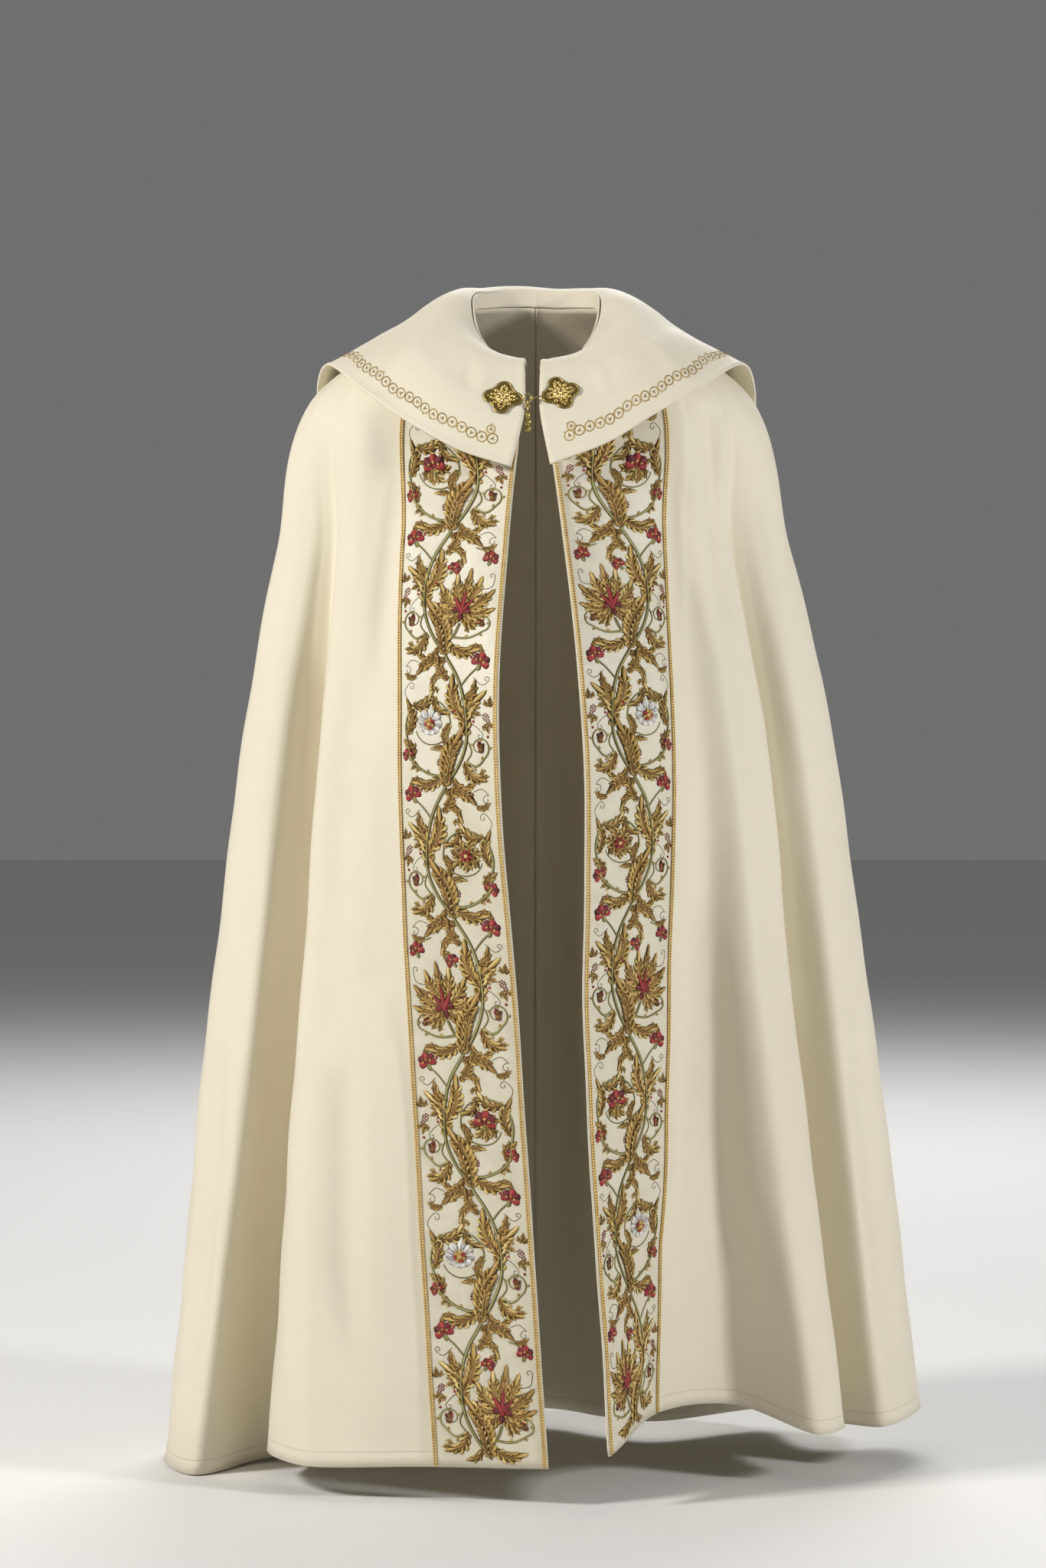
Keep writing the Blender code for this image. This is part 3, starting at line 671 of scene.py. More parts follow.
def palmette(work, at, size, turn):
    """A fan of lobed leaves round a red calyx."""
    at = np.array(at, float)
    for fan, far, bend, left, right in PALMETTE_LEAVES:
        for hand, thread in ((-1, left), (1, right)):
            tip = at + heading(turn + hand * fan) * size * far
            leaf(work, at, tip, hand * bend, size * 0.36, thread, 5)
    leaf(work, at, at + heading(turn) * size * 1.16, 0.0, size * 0.30, "old gold", 5, 0.7)
    for fan, far in ((-34, 0.46), (34, 0.46), (0, 0.60)):
        way = heading(turn + fan) * size
        work.run([at - way * 0.10, at + way * far], size * 0.13, "red", 0.9, lobe, 6, 1.5)
    for fan in (-80, 80, 180):
        way = heading(turn + fan) * size
        work.run([at, at + way * 0.26], size * 0.16, "dark red", 0.9, petal, 6, 1.2)


def rosette(work, at, radius, turn):
    """A gold flower with a red heart."""
    at = np.array(at, float)
    for i in range(7):
        way = heading(turn + 360 / 7 * i)
        thread = ("gold", "old gold", "bright gold")[i % 3]
        leaf(work, at + way * radius * 0.15, at + way * radius, 0.08, radius * 0.66, thread, 2)
    for i in range(6):
        end = at + heading(turn + 60 * i) * radius * 0.40
        work.run([at, end], radius * 0.26, "red", 0.9, petal, 6, 1.2)
    work.knot(at, radius * 0.14, "bright gold", rise=2.0)


def berries(work, at, turn, rows):
    """A bunch of beads that narrows to its tip."""
    at, way, side = np.array(at, float), heading(turn), heading(turn + 90)
    for i in range(rows):
        across = BERRY_ROWS[i]
        for j in range(across):
            off = (j - (across - 1) / 2) * 3.1
            thread = "berry" if (i + j) % 3 == 0 else "dark red"
            work.knot(at + way * i * 2.9 + side * off, 1.4, thread)


def tendril(work, points, centre, turns):
    """A thin dark line that ends in a curl."""
    path = curve(points, 14)
    path = np.concatenate([path, curl(centre, path[-1], turns, 0.9, 22)[1:]])
    work.run(path, 0.85, "tendril", 0.45, rod, 4, 0.1, 2.4)


def scroll(work, points, centre, turns, end_radius, width):
    """A stem with small leaves that closes into a scroll."""
    path = curve(points, 16)
    path = np.concatenate([path, curl(centre, path[-1], turns, end_radius, 30)[1:]])
    work.run(path, width, "green", 1.0, thinning, 6, 0.1, 2.0)
    work.run(path[3:30], width * 0.36, "pale green", 0.5, thinning, 4, 1.0, 2.2)
    way = ways(path)
    for i, at in enumerate(range(5, 30, 6)):
        out = beside(way[at], 1 if i % 2 else -1)
        bud = path[at] + (way[at] * 0.75 + out * 0.66) * (7.5 - i * 0.6)
        work.run([path[at], bud], 3.6, ("gold", "old gold")[i % 2], 0.8, petal, 6, 0.1, 2.4)
    return path


def stalk(work, points, width, height=0.8, count=9):
    """A green stalk through points."""
    work.run(curve(points, count), width, "green", height, rod)


def beads(work, spots, radius, thread, rise):
    for spot in spots:
        work.knot(spot, radius, thread, rise)


def great_scroll(work):
    """The scroll that a flower sits in, and a leaf that springs from it."""
    path = scroll(work, [(8, 150), (-20, 148), (-46, 130), (-54, 102)], (-20, 86), 1.02, 22, 4.2)
    leaf(work, path[10], path[10] + (-14, -26), 0.22, 15.0, "old gold", 4)


def calyx(work, at):
    """Five leaves behind a flower."""
    for turn in (-75, 75, 180, 140, -140):
        thread = "gold" if turn > 0 else "old gold"
        leaf(work, at, at + heading(turn) * 21, 0.15, 13.0, thread, 3)


# One half wave of the vine that climbs each band, turned over for the next. Millimetres, x towards
# the outer edge and y down.
UNIT = 162.0
STEM = ((0, 162), (15, 140), (27, 112), (29, 78), (19, 34), (0, 0))


# What grows on the stem, in the order that it is worked: what it is, then its places and sizes.
ON_STEM = (
    # The great leaves that wrap the stem.
    (leaf, (-2, 166), (27, 88), -0.10, 23.0, "old gold", 9, 0.4),
    (leaf, (2, 160), (24, 106), -0.10, 11.0, "gold", 6, 1.5),
    (leaf, (6, 34), (-9, 2), -0.10, 13.0, "old gold", 5, 0.4),
    (leaf, (28, 86), (11, 24), -0.12, 21.0, "gold", 6),
    (leaf, (22, 58), (40, 32), 0.22, 13.0, "old gold", 4),
    # The outer side.
    (leaf, (28, 104), (55, 46), -0.20, 21.0, "bright gold", 6),
    (scroll, [(25, 132), (39, 139), (55, 126)], (45, 116), -1.10, 4.2, 3.6),
    (leaf, (47, 124), (43, 108), 0.12, 11.0, "dark red", 2, 0.6),
    (leaf, (24, 132), (55, 157), 0.22, 16.5, "gold", 5),
    (leaf, (8, 152), (30, 167), 0.20, 12.0, "old gold", 3),
    (stalk, [(21, 42), (34, 26), (43, 18)], 2.6),
    (blossom, (45, 15), 16.0, 20),
    (spray, (56, 88), 168, 13, "gold"),
    (berries, (52, 76), 150, 5),
    (tendril, [(31, 84), (43, 92), (50, 100)], (46, 102), 1.1),
    (tendril, [(36, 30), (50, 40), (58, 34)], (54, 33), -1.1),
    (spray, (36, 70), 120, 15, "gold"),
    (spray, (57, 66), 10, 13, "old gold"),
    (spray, (44, 150), 96, 14, "gold"),
    (leaf, (50, 2), (30, -8), 0.18, 11.0, "old gold", 3),
    (stalk, [(30, 108), (34, 122), (26, 134)], 2.2),
    (beads, ((57, 104), (34, 6), (14, 70), (38, 84)), 1.9, "red", 0.2),
    # The inner side.
    (leaf, (3, 10), (-40, 24), 0.22, 18.5, "old gold", 5),
    (leaf, (6, 22), (-20, 46), 0.20, 12.0, "gold", 3),
    (tendril, [(-34, 8), (-46, 4), (-56, 12)], (-52, 17), 1.2),
    (leaf, (-22, 20), (-40, -4), 0.18, 12.0, "gold", 4),
    (leaf, (-38, 26), (-58, 20), -0.16, 10.0, "old gold", 3),
    (spray, (-12, 40), 200, 12, "gold"),
    (leaf, (-2, 150), (-48, 157), -0.18, 17.5, "gold", 5),
)
IN_SCROLL = (
    (great_scroll,),
    (leaf, (-52, 100), (-56, 52), 0.16, 16.0, "gold", 5),
    (leaf, (-48, 62), (-14, 44), 0.26, 16.0, "bright gold", 4),
    (leaf, (-14, 50), (10, 74), 0.26, 14.0, "gold", 3),
    (leaf, (8, 84), (2, 118), 0.16, 13.0, "old gold", 4),
    (leaf, (4, 124), (-22, 116), 0.20, 11.0, "gold", 3),
    (tendril, [(-50, 60), (-58, 44), (-51, 34)], (-47, 38), 1.2),
    (berries, (-6, 128), 200, 4),
    (spray, (-38, 136), 240, 13, "bright gold"),
)
CARRIED = {
    "palmette": (
        (stalk, [(9, 148), (-8, 142), (-19, 122)], 4.0, 1.1, 12),
        (palmette, (-20, 108), 50, -8),
        (scroll, [(-8, 141), (-30, 143), (-53, 133)], (-46, 124), 1.05, 3.6, 3.6),
        (leaf, (-49, 129), (-44, 117), 0.12, 9.5, "red", 2, 0.6),
        (blossom, (-50, 42), 14.0, -14),
        (stalk, [(-30, 24), (-44, 30), (-49, 40)], 2.4),
        (blossom, (-4, 54), 12.0, -34),
        (berries, (6, 96), 140, 4),
        (spray, (-28, 126), 236, 14, "old gold"),
        (spray, (-2, 132), 20, 13, "bright gold"),
        (tendril, [(-40, 80), (-55, 76), (-58, 64)], (-54, 62), 1.1),
    ),
    "daisy": IN_SCROLL + ((daisy, (-21, 85), 21.0, 10), (blossom, (-50, 126), 12.0, -30)),
    "rosette": IN_SCROLL + ((rosette, (-21, 85), 22.0, 20), (blossom, (-48, 128), 13.0, -40)),
    "blossom": IN_SCROLL + (
        (calyx, (-21, 86)), (blossom, (-21, 86), 19.0, -10), (blossom, (-50, 124), 12.0, -30),
    ),
}


def vine_unit(work, kind):
    """The stem with its side leaves, and the scroll, flower or palmette that it carries."""
    stem = curve(STEM, 60)
    work.run(stem, 4.6, "green", 1.2, rod, 6, 0.0, 2.2)
    work.run(stem, 1.5, "pale green", 0.5, rod, 4, 1.1, 2.2)
    for make, *how in ON_STEM + CARRIED[kind]:
        make(work, *how)


KINDS = ("palmette", "daisy", "blossom", "palmette", "rosette", "daisy", "palmette", "blossom")


def arithmetic(operation):
    """A method that adds a Math node for an operation on two values."""
    return lambda one, other: one.math(operation, one, other)


class Value:
    """A node's output, for arithmetic that adds Math nodes."""

    __add__ = __radd__ = arithmetic("ADD")
    __mul__ = arithmetic("MULTIPLY")
    __sub__ = arithmetic("SUBTRACT")
    __truediv__ = arithmetic("DIVIDE")

    def __init__(self, finish, socket):
        self.finish, self.socket = finish, socket

    def __rsub__(self, other):
        return self.math("SUBTRACT", other, self)

    def math(self, operation, *values):
        return self.finish.node("Math", {"operation": operation}, dict(enumerate(values)))

    def waves(self, pitch=1.0):
        """A wave between 0 and 1, once for each pitch."""
        return self.math("SINE", self * (2 * math.pi / pitch)) * 0.5 + 0.5

    def size(self):
        return self.math("ABSOLUTE", self)

    def between(self, low, high):
        """0 at low, 1 at high, smooth between them."""
        ends = {"Value": self, "From Min": low, "From Max": high}
        return self.finish.node("MapRange", {"interpolation_type": "SMOOTHSTEP"}, ends)

    def ridge(self, middle, half):
        """1 at the middle and 0 at half its width away."""
        return 1 - (self - middle).size().between(0, half)


class Finish:
    """A procedural material, its nodes added one by one."""

    def __init__(self, name, **constants):
        self.material = bpy.data.materials.new(name)
        self.material.use_nodes = True
        self.tree = self.material.node_tree
        self.shader = self.tree.nodes["Principled BSDF"]
        self.shown(**constants)

    def node(self, kind, settings=None, values=None, output=0):
        """A node of a type, with its settings made first and its sockets set or linked after."""
        node = self.tree.nodes.new("ShaderNode" + kind)
        for key, setting in (settings or {}).items():
            setattr(node, key, setting)
        for key, value in (values or {}).items():
            self.fill(node.inputs[key], value)
        return Value(self, node.outputs[output])

    def fill(self, socket, value):
        if isinstance(value, Value):
            self.tree.links.new(value.socket, socket)
        elif isinstance(value, tuple) and len(value) == 3 and socket.type == "RGBA":
            socket.default_value = (*value, 1)
        else:
            socket.default_value = value

    def ramp(self, stops, share):
        """The colour at a share of the way through stops, each a place and its colour."""
        ramp = self.node("ValToRGB", {}, {"Fac": share})
        elements = ramp.socket.node.color_ramp.elements
        while len(elements) < len(stops):
            elements.new(0.5)
        for element, (at, colour) in zip(elements, stops):
            element.position, element.color = at, (*colour, 1)
        return ramp

    def kept(self, name):
        """A vector that the mesh keeps under a name."""
        return self.node("Attribute", {"attribute_name": name}, output="Vector")

    def number(self, name):
        return self.node("Attribute", {"attribute_name": name}, output="Fac")

    def parts(self, vector):
        made = self.node("SeparateXYZ", {}, {"Vector": vector})
        return [Value(self, made.socket.node.outputs[i]) for i in range(3)]

    def place(self):
        return self.node("TexCoord", output="Object")

    def noise(self, vector, scale, detail=3.0, roughness=0.5):
        """A cloudy pattern, its scale in metres."""
        scale = scale if isinstance(scale, tuple) else (scale,) * 3
        size = {"Vector": vector, "Scale": tuple(1 / s for s in scale)}
        vector = self.node("Mapping", {"vector_type": "POINT"}, size)
        cloud = {"Vector": vector, "Scale": 1.0, "Detail": detail, "Roughness": roughness}
        return self.node("TexNoise", {}, cloud)

    def mix(self, share, first, second):
        """A colour between two, by a share."""
        settings = {"data_type": "RGBA", "blend_type": "MIX", "clamp_factor": True}
        return self.node("Mix", settings, {0: share, 6: first, 7: second}, output=2)

    def bump(self, height, depth, strength=1.0, under=None):
        """A raised relief, its depth in metres for a height of 1."""
        values = {"Height": height, "Distance": depth, "Strength": strength}
        if under is not None:
            values["Normal"] = under
        return self.node("Bump", {}, values, output="Normal")

    def shown(self, **values):
        for key, value in values.items():
            name = key.replace("_", " ").title().replace("Ior", "IOR")
            self.fill(self.shader.inputs[name], value)
        return self.material


HEM_TURN = 0.017  # from the hem to the line of its turned-up edge
WOOL_STOPS = (
    (0.30, (0.660, 0.590, 0.440)),
    (0.46, (0.740, 0.674, 0.520)),
    (0.60, (0.785, 0.722, 0.570)),
    (0.78, (0.820, 0.764, 0.620)),
)
SATIN_STOPS = (
    (0.30, (0.590, 0.535, 0.400)),
    (0.50, (0.690, 0.635, 0.490)),
    (0.75, (0.755, 0.705, 0.565)),
)


def ivory_wool():
    """Fine milled wool with a soft lustre, with painted shade along its turned hem line and its
    pressed back seam.
    """
    finish = Finish("ivory_wool", sheen_weight=0.22, sheen_roughness=0.42, specular_ior_level=0.50)
    cloth = finish.kept("cut")
    nap = finish.noise(cloth, 0.0016, 3.0, 0.62)
    weave = finish.noise(cloth, (0.0009, 0.0042, 0.01), 2.0)
    cloudy = finish.noise(cloth, 0.045, 3.0)
    broad = finish.noise(finish.place(), 0.24, 2.0)
    hem, seam = finish.number("hem"), finish.number("seam")
    turned = hem.ridge(HEM_TURN, 0.0013)
    pressed = seam.ridge(0, 0.0016) * (1 - turned * 0.2)
    shade = nap * 0.52 + cloudy * 0.10 + broad * 0.12 + 0.16
    colour = finish.ramp(WOOL_STOPS, shade)
    # The hem's turned line and the pressed back seam are darkened towards brown: painted shade in
    # their shallow grooves.
    colour = finish.mix(turned * 0.30 + pressed * 0.35, colour, (0.50, 0.42, 0.28))
    rough = 0.50 + nap * 0.15 + cloudy * 0.06
    fibre = finish.bump(nap * 0.7 + weave * 0.3, 0.00035, 0.55)
    creased = finish.bump(cloudy, 0.0012, 0.30, fibre)
    lines = finish.bump(1 - turned * 0.8 - pressed, 0.0006, 0.8, creased)
    return finish.shown(base_color=colour, roughness=rough, normal=lines)


def cream_satin():
    """Silk satin with long fine slubs along the warp and a crosswise lustre."""
    finish = Finish("cream_satin", sheen_weight=0.12, sheen_roughness=0.3, specular_ior_level=0.55)
    cloth = finish.kept("cut")
    slub = finish.noise(cloth, (0.00055, 0.016, 0.01), 3.0, 0.6)
    pick = finish.noise(cloth, (0.006, 0.0007, 0.01), 2.0, 0.5)
    cloudy = finish.noise(cloth, 0.030, 2.0)
    shade = slub * 0.45 + pick * 0.25 + cloudy * 0.40 - 0.05
    colour = finish.ramp(SATIN_STOPS, shade)
    rough = 0.36 + pick * 0.14 + slub * 0.06
    threads = finish.bump(slub * 0.55 + pick * 0.45, 0.00028, 0.6)
    pulled = finish.bump(cloudy, 0.0012, 0.3, threads)
    return finish.shown(base_color=colour, roughness=rough, normal=pulled)


STITCH = 0.62  # millimetres from stitch to stitch
VEIN = 2.1  # millimetres between the lines of stitches that shade a leaf
# Each thread's shaded, middle and lit colour, how metallic it is, its roughness and how far its
# edge is darkened.
THREADS = {
    "gold": ((0.19, 0.1, 0.022), (0.52, 0.325, 0.08), (0.92, 0.7, 0.28), 0.3, 0.36, 0.9),
    "bright gold": ((0.3, 0.17, 0.04), (0.7, 0.49, 0.15), (1.0, 0.85, 0.43), 0.35, 0.32, 0.85),
    "old gold": ((0.14, 0.07, 0.018), (0.38, 0.22, 0.055), (0.7, 0.46, 0.155), 0.25, 0.42, 0.9),
    "brown": ((0.045, 0.018, 0.008), (0.085, 0.036, 0.014), (0.15, 0.07, 0.03), 0.0, 0.6, 0.2),
    "red": ((0.11, 0.006, 0.008), (0.32, 0.015, 0.02), (0.54, 0.07, 0.052), 0.0, 0.45, 0.8),
    "dark red": ((0.05, 0.004, 0.005), (0.15, 0.009, 0.013), (0.29, 0.032, 0.032), 0.0, 0.5, 0.75),
    "silver": ((0.3, 0.28, 0.25), (0.64, 0.62, 0.57), (0.9, 0.89, 0.85), 0.2, 0.36, 0.8),
    "green": ((0.08, 0.072, 0.016), (0.235, 0.205, 0.055), (0.42, 0.38, 0.14), 0.0, 0.48, 0.75),
    "pale green": ((0.3, 0.28, 0.09), (0.5, 0.46, 0.18), (0.68, 0.64, 0.32), 0.05, 0.44, 0.3),
    "tendril": ((0.06, 0.034, 0.018), (0.115, 0.07, 0.036), (0.2, 0.13, 0.075), 0.0, 0.6, 0.2),
    "berry": ((0.1, 0.02, 0.016), (0.27, 0.07, 0.05), (0.46, 0.18, 0.12), 0.05, 0.45, 0.6),
}


def thread_finish(name):
    """Silk or metal thread in close satin stitches that lean towards the tip of each leaf."""
    shaded, middle, lit, metallic, roughness, darkening = THREADS[name]
    title = "thread_" + name.replace(" ", "_")
    finish = Finish(title, metallic=metallic, specular_ior_level=0.5)
    along, across, seed = finish.parts(finish.kept("stitch"))
    aside = across.size()
    wave = (along + aside * 0.55).waves(STITCH)
    vein = (along - aside * 2.6).waves(VEIN)
    strand = finish.noise(finish.kept("stitch"), (0.8, 0.5, 0.05), 2.0)
    lit_half = across.between(-0.25, 0.25) - 0.5
    shade = strand * 0.50 + wave * 0.12 + vein * 0.20 + seed * 0.22 + lit_half * 0.22 - 0.04
    stops = ((0.20, shaded), (0.48, middle), (0.80, lit))
    colour = finish.ramp(stops, shade)
    outline = aside.between(0.60, 0.92) * darkening
    colour = finish.mix(outline, colour, tuple(0.16 * c for c in shaded))
    rough = roughness + wave * 0.12 - strand * 0.06
    stitched = finish.bump(wave * 0.5 + vein * 0.5, 0.00026, 0.8)
    return finish.shown(base_color=colour, roughness=rough, normal=stitched)


def braid_gold():
    """Gilt thread laid round a core, so that each cord shows slanting turns, with painted shade
    between the turns and painted highlight on them.
    """
    finish = Finish("braid_gold", metallic=0.72, specular_ior_level=0.5)
    along, turn, _ = finish.parts(finish.kept("stitch"))
    phase = along / CORD_TWIST + turn
    strand = phase.waves()
    fine = phase.waves(1 / 4)
    worn_thread = finish.noise(finish.place(), 0.012, 3.0)
    # The colour follows the twist: darker where the turns meet and lighter on their crowns, a
    # painted shade and painted highlight. The worn-thread noise is tone that differs at random.
    shade = strand * 0.55 + fine * 0.12 + worn_thread * 0.40 - 0.04
    stops = ((0.10, (0.24, 0.13, 0.035)), (0.45, (0.60, 0.40, 0.13)), (0.85, (0.86, 0.66, 0.29)))
    colour = finish.ramp(stops, shade)
    rough = 0.34 + fine * 0.08 + worn_thread * 0.10
    twisted = finish.bump(strand * 0.8 + fine * 0.2, 0.00045, 0.9)
    return finish.shown(base_color=colour, roughness=rough, normal=twisted)


def braid_pale():
    """The silk line between a braid's cords, with painted shade between the beats of its twist and
    painted highlight on them.
    """
    finish = Finish("braid_pale", sheen_weight=0.15)
    along, turn, _ = finish.parts(finish.kept("stitch"))
    beat = (along / PALE_TWIST + turn).waves()
    worn_thread = finish.noise(finish.place(), 0.010, 3.0)
    stops = ((0.15, (0.50, 0.41, 0.25)), (0.60, (0.76, 0.68, 0.50)), (0.90, (0.86, 0.80, 0.65)))
    # Darker between the beats and lighter on them: painted shade and painted highlight of the
    # twist, mixed with noise for tone that differs at random.
    colour = finish.ramp(stops, beat * 0.5 + worn_thread * 0.5)
    beaten = finish.bump(beat, 0.00025, 0.8)
    return finish.shown(base_color=colour, roughness=0.5 + beat * 0.1, normal=beaten)


def gilt():
    """Gilded brass, bright where it is rubbed and brown in its hollows."""
    finish = Finish("gilt", metallic=1.0, specular_ior_level=0.5)
    high = finish.number("high")
    rubbed = finish.noise(finish.place(), 0.0035, 4.0, 0.6)
    pitted = finish.noise(finish.place(), 0.0007, 2.0)
    shade = high * 0.70 + rubbed * 0.36 - 0.06
    stops = ((0.22, (0.085, 0.05, 0.016)), (0.5, (0.62, 0.44, 0.13)), (0.82, (0.98, 0.82, 0.38)))
    colour = finish.ramp(stops, shade)
    rough = 0.40 - high * 0.14 + rubbed * 0.10
    worked = finish.bump(pitted * 0.5 + rubbed * 0.5, 0.00012, 0.6)
    return finish.shown(base_color=colour, roughness=rough, normal=worked)


EDGE_REACH = 0.12  # how far up from the collar's edge its vine may be placed


class Ground:
    """A cloth that stitches are worked on. It finds the place of a flat point on the cloth."""

    def __init__(self, points, out, lift):
        self.out = out
        self.points = points + out * lift
        self.down = lengths(points, 0)
        self.round = lengths(points, 1)

    def on_band(self, flat):
        """Flat points are across from the band's middle and down from its top, in metres."""
        middle = self.points.shape[1] // 2
        row = np.interp(flat[:, 1], self.down[:, middle], np.arange(len(self.down)))
        share = 0.5 + flat[:, 0] / np.interp(row, np.arange(len(self.round)), self.round[:, -1])
        return self.laid(row, share * (self.points.shape[1] - 1), flat[:, 2])

    def by_edge(self, flat, inside):
        """Flat points are along a line that runs this far inside the edge, and below the edge."""
        up = self.down[-1] - self.down
        rows, columns = np.arange(len(up)), np.arange(up.shape[1])

        def rows_at(depth):
            return np.array([np.interp(-depth, -up[:, c], rows) for c in columns])

        table = np.stack([rows_at(depth) for depth in np.arange(0, EDGE_REACH, MM)])
        along = distances(sampled(self.points, rows_at(inside), columns.astype(float)))
        column = np.interp(flat[:, 0], along, columns)
        row = sampled(table, -flat[:, 1] / MM, column)
        return self.laid(row, column, flat[:, 2]), along[-1]

    def laid(self, row, column, lift):
        out = unit(sampled(self.out, row, column))
        return sampled(self.points, row, column) + out * lift[:, None]


def cord(bm, kept, line, radius, spin):
    """A round cord along a line of points, closed at its ends."""
    made = bmesh.ops.create_uvsphere(
        bm, u_segments=CORD_SIDES, v_segments=len(line) - 1, radius=1
    )["verts"]
    share, over, high = ball_places(np.array([vert.co for vert in made]))
    ring = np.rint(share * (len(line) - 1)).astype(int)
    way = ways(line)
    side = [np.array(Vector(way[0]).orthogonal().normalized())]
    for w in way[1:]:
        side.append(unit(side[-1] - w * (side[-1] @ w)))
    side = np.array(side)
    up = np.cross(side, way)
    place = line[ring] + radius * (side[ring] * over[:, None] + up[ring] * high[:, None])
    turn = np.arctan2(high, over) / (2 * math.pi)
    for vert, at, a, t in zip(made, place, distances(line)[ring], turn):
        vert.co = at
        vert[kept] = (a, t, spin)


def braids(side, points, out, lift, finishes):
    """Two cords with a pale line between them, along each edge of a band."""
    for place, column, beside_it in (("inner", 0, 1), ("outer", -1, -2)):
        across = unit(points[:, beside_it] - points[:, column])
        name = f"braid_{side}_{place}"
        bm = bmesh.new()
        kept = bm.verts.layers.float_vector.new("stitch")
        count = int(lengths(points, 0)[-1, column] / CORD_STEP)
        rows = np.linspace(0, len(points) - 1.01, count)
        columns = np.full(count, column % points.shape[1], float)
        line = sampled(points, rows, columns)
        over = sampled(across[:, None].repeat(2, 1), rows, np.zeros(count))
        up = sampled(out, rows, columns)
        for shift, radius, high, thread in (
            (-CORD_ASIDE, CORD_RADIUS, CORD_RADIUS, 0),
            (CORD_ASIDE, CORD_RADIUS, CORD_RADIUS, 0),
            (0.0, PALE_RADIUS, PALE_HIGH, 1),
        ):
            old = set(bm.faces)
            middle = line + over * (BRAID_INSET + shift) + up * (lift + high)
            cord(bm, kept, middle, radius, shift)
            for face in set(bm.faces) - old:
                face.material_index = thread
                face.smooth = True
        mesh = mesh_of(bm, name)
        piece(name + "_cords", mesh, finishes, stands_for=[name], smooth=False)


BAND_MARGIN = 28.0  # millimetres left plain over the two ends of the vine


def band_pattern():
    """The climbing vine, worked flat, its first unit at the hem and each one turned over."""
    units = {}
    for kind in CARRIED:
        work = Needlework()
        vine_unit(work, kind)
        units[kind] = mesh_of(work.bm, kind)
    whole = bmesh.new()
    for i, kind in enumerate(KINDS):
        old = len(whole.verts)
        whole.from_mesh(units[kind])
        whole.verts.ensure_lookup_table()
        new = whole.verts[old:]
        if i % 2:
            bmesh.ops.scale(whole, vec=(-1, 1, 1), verts=new)
            faces = {face for vert in new for face in vert.link_faces}
            bmesh.ops.reverse_faces(whole, faces=list(faces))
        start = BAND_MARGIN / 2 + (len(KINDS) - 1 - i) * UNIT
        bmesh.ops.translate(whole, vec=(0, start, 0), verts=new)
    return mesh_of(whole, "vine")


def by_hand(flat):
    """Flat points in millimetres with the small unevenness of hand work."""
    x, y = flat[:, 0], flat[:, 1]
    over = 0.9 * np.sin(y / 47 + 0.4) * np.cos(x / 31) + 0.5 * np.sin(y / 19 + x / 23)
    down = 1.1 * np.sin(x / 37 + y / 61) + 0.5 * np.cos(y / 23 - x / 29)
    return flat + np.stack([over, down, np.zeros_like(over)], axis=1)


def front_bands(points, finish, threads, cords):
    """The satin bands down both front edges, with their embroidery and braids."""
    high = SEAM + BAND_WALL
    normals = outward(points)
    top_row = sum(COPE_FACETS_DOWN[:2])
    vine = band_pattern()
    for side, span in (
        ("left", np.arange(BAND_FACETS + 1)),
        ("right", np.arange(points.shape[1] - BAND_FACETS - 1, points.shape[1])),
    ):
        cloth, out = points[top_row:, span], normals[top_row:, span]
        satin_points = cloth + out * high
        mesh = grid_mesh(f"orphrey_{side}", satin_points, cut=cut(satin_points))
        node = f"orphrey_{side}"
        ground = piece(f"{node}_satin", mesh, [finish], stands_for=[node])
        thickened(ground, BAND_WALL)
        if side == "right":
            cloth, out = cloth[:, ::-1], out[:, ::-1]
        worked = Ground(cloth, out, high)
        length = float(worked.down[-1, BAND_FACETS // 2])
        stitches = vine.copy()
        flat = by_hand(read_points(stitches)) * MM
        flat[:, 1] *= length / (BAND_MARGIN + len(KINDS) * UNIT) / MM
        write_points(stitches, worked.on_band(flat))
        if side == "right":
            stitches.flip_normals()
        piece(f"embroidery_{side}", stitches, threads, smooth=False)
        braids(side, cloth, out, high, cords)


COLLAR_FACETS_DOWN, COLLAR_FACETS_AROUND = (10, 22, 26), 11
NECKBAND_CLOTH, NECKBAND_ROWS = (0.48, 0.02), 9
# The vine of rings, in millimetres: from ring to ring, from the collar's edge, from its front
# edges, how it sways, and the rings' sizes.
RING_PITCH, VINE_INSIDE, VINE_MARGIN, VINE_SWAY = 13.4, 27.0, 22.0, 1.6
RING_SIZE, END_RING_SIZE, END_RING_OFF = 6.5, 5.4, (5.0, -10.6)
# The collar's edge: a low roll, then a shallow line of stitches. How far in, how high, how wide.
EDGE_ROLL = (0.0030, 0.0009, 0.0030)
EDGE_STITCH = (0.0085, -0.0004, 0.0016)


def collar_vine(length_mm):
    """A line of small rings with a flower in each, in fine gold thread along the collar's edge."""
    work = Needlework()
    count = int((length_mm - 2 * VINE_MARGIN) / RING_PITCH)
    first = (length_mm - (count - 1) * RING_PITCH) / 2
    for i in range(count):
        at = np.array((first + i * RING_PITCH, -VINE_INSIDE + VINE_SWAY * math.sin(i * 1.3)))
        spots = [(at, RING_SIZE)]
        if i in (0, count - 1):
            inwards = 1 if i == 0 else -1
            spots.append((at + np.array(END_RING_OFF) * (inwards, 1), END_RING_SIZE))
        for middle, radius in spots:
            start = middle + heading(40 + 137 * i) * radius
            ring = curl(middle, start, 1.12, radius * 0.93, 26)
            work.run(ring, 1.5, "gold", 0.45, rod, 4, 0.05, 2.4)
            for k in range(3):
                way = heading(20 * i + 120 * k)
                work.run([middle, middle + way * 3.0], 2.3, "gold", 0.5, petal, 4, 0.0, 1.0)
            work.knot(middle, 0.8, "brown", rise=0.3)
            spur = middle + heading(25 * i) * radius
            end = spur + heading(25 * i + 50) * 3.2
            work.run([spur, end], 1.2, "old gold", 0.35, lobe, 4)
    return work


